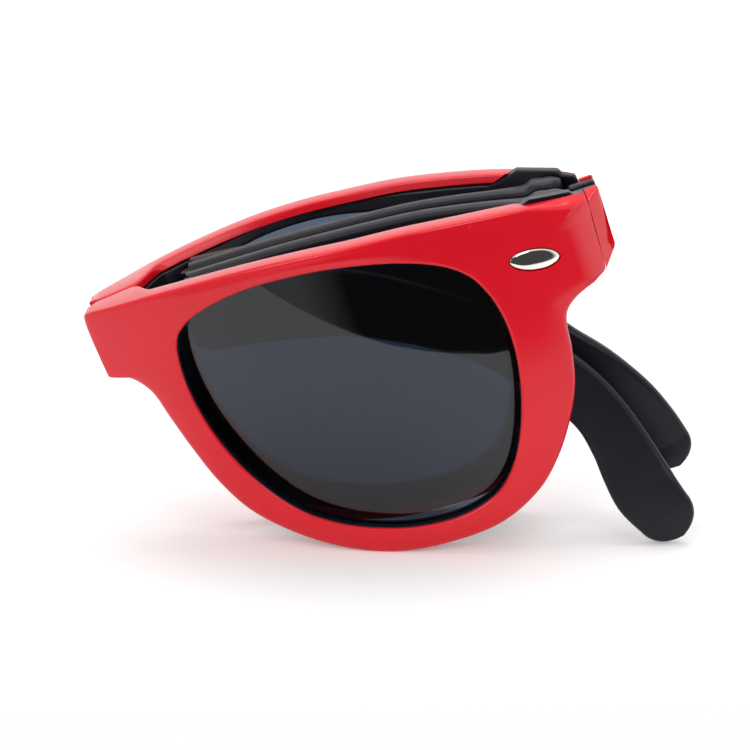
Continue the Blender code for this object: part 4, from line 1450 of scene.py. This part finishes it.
@dataclass
class Temple:
    """One folded temple: front section, rear section with its ear tip, and both pins.

    A front station has x, top, bottom, outer y and inner y. A rear station has x, z, half
    height, middle y and thickness.
    """

    form: FrontForm
    hinge: TempleHinge
    front_points: Stations = field(default_factory=lambda: [
        (14.7, 0.3, -10.2, -1.2, -4.0), (22.0, 0.2, -10.7, -1.25, -4.05),
        (31.0, -0.1, -11.4, -1.3, -4.1), (45.0, -1.1, -12.6, -1.45, -4.25),
        (52.0, -2.1, -13.6, -1.55, -4.35), (58.0, -3.3, -15.0, -1.65, -4.6),
        (62.0, -4.2, -15.8, -1.6, -5.9)])
    left_rear_points: Stations = field(default_factory=lambda: [
        (14.7, -4.9, 5.2, -5.7, 2.8), (25.0, -6.6, 5.1, -5.75, 2.8), (35.0, -9.6, 4.8, -5.85, 2.8),
        (43.5, -14.2, 4.3, -5.9, 2.8), (51.0, -20.0, 4.1, -5.2, 2.8), (56.4, -26.9, 4.0, -2.6, 2.7),
        (60.6, -32.8, 3.9, -2.1, 2.5), (62.9, -37.2, 3.8, -2.5, 2.5), (64.2, -41.7, 4.05, -3.3, 2.5),
        (65.0, -46.0, 4.45, -4.2, 2.5), (65.8, -49.5, 4.6, -5.2, 2.5), (67.3, -53.1, 4.2, -5.8, 2.4)])
    right_rear_points: Stations = field(default_factory=lambda: [
        (14.7, -4.9, 5.2, -5.7, 2.8), (25.1, -6.0, 5.1, -5.75, 2.8), (35.2, -8.5, 4.8, -5.85, 2.8),
        (43.9, -12.6, 4.3, -5.9, 2.8), (51.6, -18.0, 4.1, -5.2, 2.8), (56.3, -23.3, 4.0, -3.3, 2.7),
        (60.2, -28.1, 3.9, -2.3, 2.5), (64.0, -32.7, 3.9, -2.2, 2.5), (67.5, -38.4, 3.85, -2.8, 2.5),
        (69.5, -43.3, 3.8, -3.7, 2.5), (70.7, -47.2, 3.7, -4.4, 2.4)])
    middle: Knuckles = Knuckles(14.5, -4.15, 1.5, 0.6, -9.4, -0.9, 3, edge=0.0, pin_edge=0.12)
    # rows of the two sections, and the roundings of their ends and edges
    front_rows: int = 110
    front_end_rows: int = 20
    rear_rows: int = 150
    rear_end_rows: int = 24
    end_turn: tuple[float, float] = (4.0, 86.0)
    neck_run: float = 1.6
    neck_rise: float = 0.3
    end_drop: float = 0.5
    tip_thinning: float = 0.35
    corner: float = 0.9
    front_corner_steps: int = 7
    rear_corner_steps: int = 8
    square_run: float = 12.0
    # the screw of the temple hinge
    screw_cover: float = 1.2
    screw_gap: float = 0.2
    screw_edge: float = 0.1
    head_edge: float = 0.12
    head_sink: float = 0.05
    kerf_half: float = 0.16
    kerf_depth: float = 0.3

    def front_section(self) -> bpy.types.Mesh:
        """Makes the front section with its fork and knuckles.

        Formula: rounded rectangles at stations along x, each between its own top, bottom, outer
        and inner values; past the hinge axis the width follows a circle round that axis.

        Returns:
            The closed mesh.
        """
        hinge = self.hinge
        form = self.form
        sides = (hinge.bottom, hinge.y + hinge.radius, hinge.y - hinge.radius)
        neck = (hinge.x - self.neck_run, hinge.top + self.neck_rise, *sides)
        stations = self.front_points + [neck, (hinge.x, hinge.top, *sides)]
        x, top, bottom, outer, inner = smooth_curve(stations, self.front_rows, False).T
        turn = np.radians(np.linspace(*self.end_turn, self.front_end_rows))
        x = np.concatenate([x, hinge.x + hinge.radius * np.sin(turn)])
        top = np.concatenate([top, hinge.top - self.end_drop * np.sin(turn) ** 2])
        bottom = np.concatenate([bottom, np.full(self.front_end_rows, hinge.bottom)])
        outer = np.concatenate([outer, hinge.y + hinge.radius * np.cos(turn)])
        inner = np.concatenate([inner, hinge.y - hinge.radius * np.cos(turn)])
        u, v = rounded_rectangle((outer - inner) / 2.0, (top - bottom) / 2.0, np.full(len(x), self.corner),
                                 self.front_corner_steps)
        sections = np.stack([np.broadcast_to(x[:, None], u.shape), (outer + inner)[:, None] / 2.0 + u,
                             (top + bottom)[:, None] / 2.0 + v], -1)
        slot = block((hinge.x - hinge.lug_radius - 2.0 * form.hinge_gap, -form.reach,
                      hinge.lug_bottom - form.hinge_gap),
                     (hinge.x + form.reach, form.reach, hinge.lug_top + form.hinge_gap))
        hole = post(hinge.x, hinge.y, hinge.pin_radius + form.pin_gap, -form.reach,
                    hinge.top - self.screw_cover)
        head = post(hinge.x, hinge.y, hinge.head_radius + form.seat_gap, -form.reach,
                    hinge.bottom + hinge.head_height + form.seat_gap)
        return combine(bar_mesh(sections), self.middle.steps(True, form)
                       + [(Join.CUT, slot), (Join.CUT, hole), (Join.CUT, head)])

    def rear_section(self, stations: Stations) -> bpy.types.Mesh:
        """Makes the rear section with its rounded ear tip.

        Formula: rounded rectangles square to a smooth centre line, upright at its first
        station; past its end the width follows a half circle, and the thickness falls a little.

        Args:
            stations: the rear stations of one side.

        Returns:
            The closed mesh.
        """
        x, z, half, middle, thick = smooth_curve(stations, self.rear_rows, False).T
        along = np.stack([np.gradient(x), np.gradient(z)], -1)
        along /= np.linalg.norm(along, axis=1)[:, None]
        turned = smooth_step(x[0], x[0] + self.square_run, x)[:, None]
        along = (1.0, 0.0) * (1.0 - turned) + along * turned
        along /= np.linalg.norm(along, axis=1)[:, None]
        turn = np.radians(np.linspace(*self.end_turn, self.rear_end_rows))
        far = half[-1] * np.sin(turn)
        x = np.concatenate([x, x[-1] + along[-1, 0] * far])
        z = np.concatenate([z, z[-1] + along[-1, 1] * far])
        half = np.concatenate([half, half[-1] * np.cos(turn)])
        middle = np.concatenate([middle, np.full(self.rear_end_rows, middle[-1])])
        thick = np.concatenate([thick, thick[-1] * (1.0 - self.tip_thinning * np.sin(turn) ** 3)])
        along = np.concatenate([along, np.repeat(along[-1:], self.rear_end_rows, 0)])
        u, v = rounded_rectangle(thick / 2.0, half, np.full(len(x), self.corner), self.rear_corner_steps)
        px = x[:, None] - along[:, 1:] * v
        pz = z[:, None] + along[:, :1] * v
        return combine(bar_mesh(np.stack([px, middle[:, None] + u, pz], -1)),
                       self.middle.steps(False, self.form))

    def screw(self) -> bpy.types.Mesh:
        """Makes the slotted screw of the temple hinge, driven in from below.

        Returns:
            The closed mesh.
        """
        hinge = self.hinge
        reach = self.form.reach
        shaft = post(hinge.x, hinge.y, hinge.pin_radius, hinge.bottom + hinge.head_height / 2.0,
                     hinge.top - self.screw_cover - self.screw_gap, self.screw_edge)
        head = post(hinge.x, hinge.y, hinge.head_radius, hinge.bottom + self.head_sink,
                    hinge.bottom + hinge.head_height, self.head_edge)
        kerf = block((hinge.x - reach, hinge.y - self.kerf_half, -reach),
                     (hinge.x + reach, hinge.y + self.kerf_half, hinge.bottom + self.kerf_depth))
        return combine(shaft, [(Join.ADD, head), (Join.CUT, kerf)])

    def dress(self, placer: Placer, finishes: Finishes) -> None:
        """Places both temples with their pins.

        Args:
            placer: what takes the meshes to their places.
            finishes: the materials.
        """
        shapes = {"temple_front": (self.front_section(), finishes.black, "black_satin"),
                  "temple_hinge_pin": (self.screw(), finishes.steel, "bright_metal"),
                  "mid_hinge_pin": (self.middle.pin(), finishes.steel, "bright_metal")}
        for side in Side:
            for name, (mesh, look, slot) in shapes.items():
                node = f"{side.value}_{name}"
                placer.place(mesh, side, node + "_skin", side.value + "_temple_front", node, slot, look)
            node = side.value + "_temple_rear"
            rear = self.rear_section(self.left_rear_points if side is Side.LEFT else self.right_rear_points)
            placer.place(rear, side, node + "_skin", node, node, "black_satin", finishes.black)


@dataclass
class BridgeHinge:
    """The metal hinge at the bridge: two leaves with interleaved knuckles, and the pin."""

    form: FrontForm
    pin_radius: float = 0.5
    knuckles: int = 5
    knuckle_edge: float = 0.08
    pin_edge: float = 0.1
    leaf_edge: float = 0.12
    leaf_edge_steps: int = 3

    @property
    def barrel(self) -> Knuckles:
        """Returns the knuckles round the bridge hinge, as high as the leaves."""
        return Knuckles(0.0, 0.0, self.form.barrel_radius, self.pin_radius, self.form.leaf_low[2],
                        self.form.leaf_high[2], self.knuckles, self.knuckle_edge, self.pin_edge)

    def leaf(self, own: bool) -> bpy.types.Mesh:
        """Makes one leaf with its rolled knuckles.

        Args:
            own: whether the leaf has the lowest knuckle.

        Returns:
            The closed mesh.
        """
        form = self.form
        plate = block(form.leaf_low, form.leaf_high, self.leaf_edge, self.leaf_edge_steps)
        return combine(plate, self.barrel.steps(own, form))

    def dress(self, placer: Placer, finishes: Finishes) -> None:
        """Places both leaves and the pin.

        Args:
            placer: what takes the meshes to their places.
            finishes: the materials.
        """
        for side in Side:
            node = side.value + "_bridge_leaf"
            placer.place(self.leaf(side is Side.LEFT), side, node + "_skin", side.value + "_half", node,
                         "bright_metal", finishes.steel)
        placer.place(self.barrel.pin(), Side.LEFT, "bridge_pin_skin", "left_half", "bridge_pin",
                     "bright_metal", finishes.steel)


@dataclass(frozen=True)
class Softbox:
    """A soft rectangular light."""

    name: str
    place: tuple[float, float, float]
    size: tuple[float, float]
    power: float

    def hang(self, target: tuple[float, float, float]) -> None:
        """Hangs the light so that it points at the target.

        Args:
            target: the point that it faces, in metres.
        """
        light = bpy.data.lights.new(self.name, "AREA")
        light.shape = "RECTANGLE"
        light.size, light.size_y = self.size
        light.energy = self.power
        lamp = bpy.data.objects.new(self.name, light)
        bpy.context.scene.collection.objects.link(lamp)
        lamp.location = self.place
        lamp.rotation_euler = (Vector(target) - Vector(self.place)).to_track_quat("-Z", "Y").to_euler()


@dataclass
class Studio:
    """The pale floor, the soft lights and the camera, in metres."""

    camera_place: tuple[float, float, float] = (-0.0078, -0.2905, 0.1154)
    camera_right: tuple[float, float, float] = (0.9999, -0.0147, 0.0)
    camera_up: tuple[float, float, float] = (0.0044, 0.3021, 0.9533)
    lens: float = 104.0
    sensor: float = 36.0
    clip: tuple[float, float] = (0.01, 10.0)
    floor_half: float = 3.0
    floor_front: float = -0.058
    floor_colour: tuple[float, float, float, float] = (0.86, 0.86, 0.86, 1.0)
    glow_run: tuple[float, float] = (0.2, 1.0)
    glow: tuple[float, float] = (0.22, 0.6)
    fill: float = 0.55
    # world directions over which the mirrored room grows dark, and how dark
    room_ahead: tuple[float, float] = (-0.25, -0.45)
    room_low: tuple[float, float] = (0.55, 0.35)
    room_right: tuple[float, float] = (-0.22, -0.02)
    room_dark: tuple[float, float] = (0.35, 0.94)
    target: tuple[float, float, float] = (0.0, 0.0, 0.02)
    softboxes: tuple[Softbox, ...] = (
        Softbox("overhead softbox", (0.0, 0.10, 0.75), (0.7, 0.5), 3.2),
        Softbox("front fill", (-0.45, -0.75, 0.55), (0.5, 0.4), 2.2),
        Softbox("right fill", (0.40, -0.70, 0.50), (0.4, 0.4), 1.6))

    def rays(self, board: NodeBoard) -> Socket:
        """Tells the rays that see the surroundings from those that only bring light.

        Args:
            board: the board to add the nodes to.

        Returns:
            1 for camera, glossy and transmission rays, and 0 for the rest.
        """
        path = board.add("ShaderNodeLightPath")
        seen = board.math("MAXIMUM", path.outputs["Is Camera Ray"], path.outputs["Is Glossy Ray"])
        return board.math("MAXIMUM", seen, path.outputs["Is Transmission Ray"])

    def room(self, board: NodeBoard) -> Socket:
        """Works out how dark the open side of the studio is, where polished pieces mirror it.

        Formula: a ramp on the direction to the front, times one that ends well overhead, times
        one that grows from left to right.

        Args:
            board: the board to add the nodes to.

        Returns:
            0 where the studio is white and 1 where it would be black.
        """
        direction = board.add("ShaderNodeTexCoord").outputs["Generated"]
        way = board.add("ShaderNodeSeparateXYZ", {"Vector": direction})
        ahead = board.spread(way.outputs["Y"], *self.room_ahead, 0.0, 1.0)
        low = board.spread(way.outputs["Z"], *self.room_low, 0.0, 1.0)
        right = board.spread(way.outputs["X"], *self.room_right, *self.room_dark)
        return board.math("MULTIPLY", board.math("MULTIPLY", ahead, low), right)

    def floor(self) -> None:
        """Makes the plain pale floor, white where nothing shades it, also far from the lamps."""
        made = bpy.data.materials.new("pale_floor")
        made.use_nodes = True
        board = NodeBoard(made.node_tree)
        place = board.add("ShaderNodeTexCoord").outputs["Object"]
        away = board.add("ShaderNodeVectorMath", {0: place}, operation="LENGTH").outputs["Value"]
        glow = board.math("MULTIPLY", self.rays(board), board.spread(away, *self.glow_run, *self.glow))
        shader = made.node_tree.nodes["Principled BSDF"]
        for name, value in {"Base Color": self.floor_colour, "Roughness": 0.6,
                            "Specular IOR Level": 0.1, "Emission Color": (1.0, 1.0, 1.0, 1.0),
                            "Emission Strength": glow}.items():
            board.feed(shader.inputs[name], value)
        reach = self.floor_half
        front = self.floor_front
        corners = [(-reach, front, 0.0), (reach, front, 0.0), (reach, reach, 0.0), (-reach, reach, 0.0)]
        mesh = bpy.data.meshes.new("floor")
        mesh.from_pydata(corners, [], [(0, 1, 2, 3)])
        mesh.materials.append(made)
        floor = bpy.data.objects.new("floor", mesh)
        bpy.context.scene.collection.objects.link(floor)

    def world(self) -> None:
        """Makes the surroundings: white where they are seen, soft and dimmer as light."""
        world = bpy.data.worlds.new("studio")
        bpy.context.scene.world = world
        world.use_nodes = True
        board = NodeBoard(world.node_tree)
        sky = world.node_tree.nodes["Background"]
        board.feed(sky.inputs["Color"], (1.0, 1.0, 1.0, 1.0))
        glossy = board.add("ShaderNodeLightPath").outputs["Is Glossy Ray"]
        seen = board.spread(self.rays(board), 0.0, 1.0, self.fill, 1.0)
        strength = board.math("SUBTRACT", seen, board.math("MULTIPLY", glossy, self.room(board)))
        board.feed(sky.inputs["Strength"], strength)

    def camera(self) -> None:
        """Places the camera where the photograph was taken from."""
        data = bpy.data.cameras.new("camera")
        data.sensor_width = self.sensor
        data.lens = self.lens
        data.clip_start, data.clip_end = self.clip
        camera = bpy.data.objects.new("camera", data)
        bpy.context.scene.collection.objects.link(camera)
        right = Vector(self.camera_right).normalized()
        up = Vector(self.camera_up)
        back = right.cross(up).normalized()
        up = back.cross(right)
        turn = Matrix((right, up, back)).transposed().to_4x4()
        camera.matrix_world = Matrix.Translation(Vector(self.camera_place)) @ turn
        bpy.context.scene.camera = camera

    def dress(self) -> None:
        """Builds the whole studio."""
        self.floor()
        self.world()
        for softbox in self.softboxes:
            softbox.hang(self.target)
        self.camera()
        bpy.context.scene.view_settings.view_transform = "Standard"


def main() -> None:
    """Builds the sub-assemblies in order."""
    logging.basicConfig(level=logging.INFO, format="%(message)s")
    finishes = Finishes.make()
    placer = Placer()
    form = FrontForm()
    hinge = TempleHinge()
    for assembly in (FrontShell(form, hinge), BackFrame(form, hinge), Lens(form), Temple(form, hinge),
                     BridgeHinge(form)):
        assembly.dress(placer, finishes)
    Studio().dress()
    bpy.context.view_layer.update()


if __name__ == "__main__":
    main()
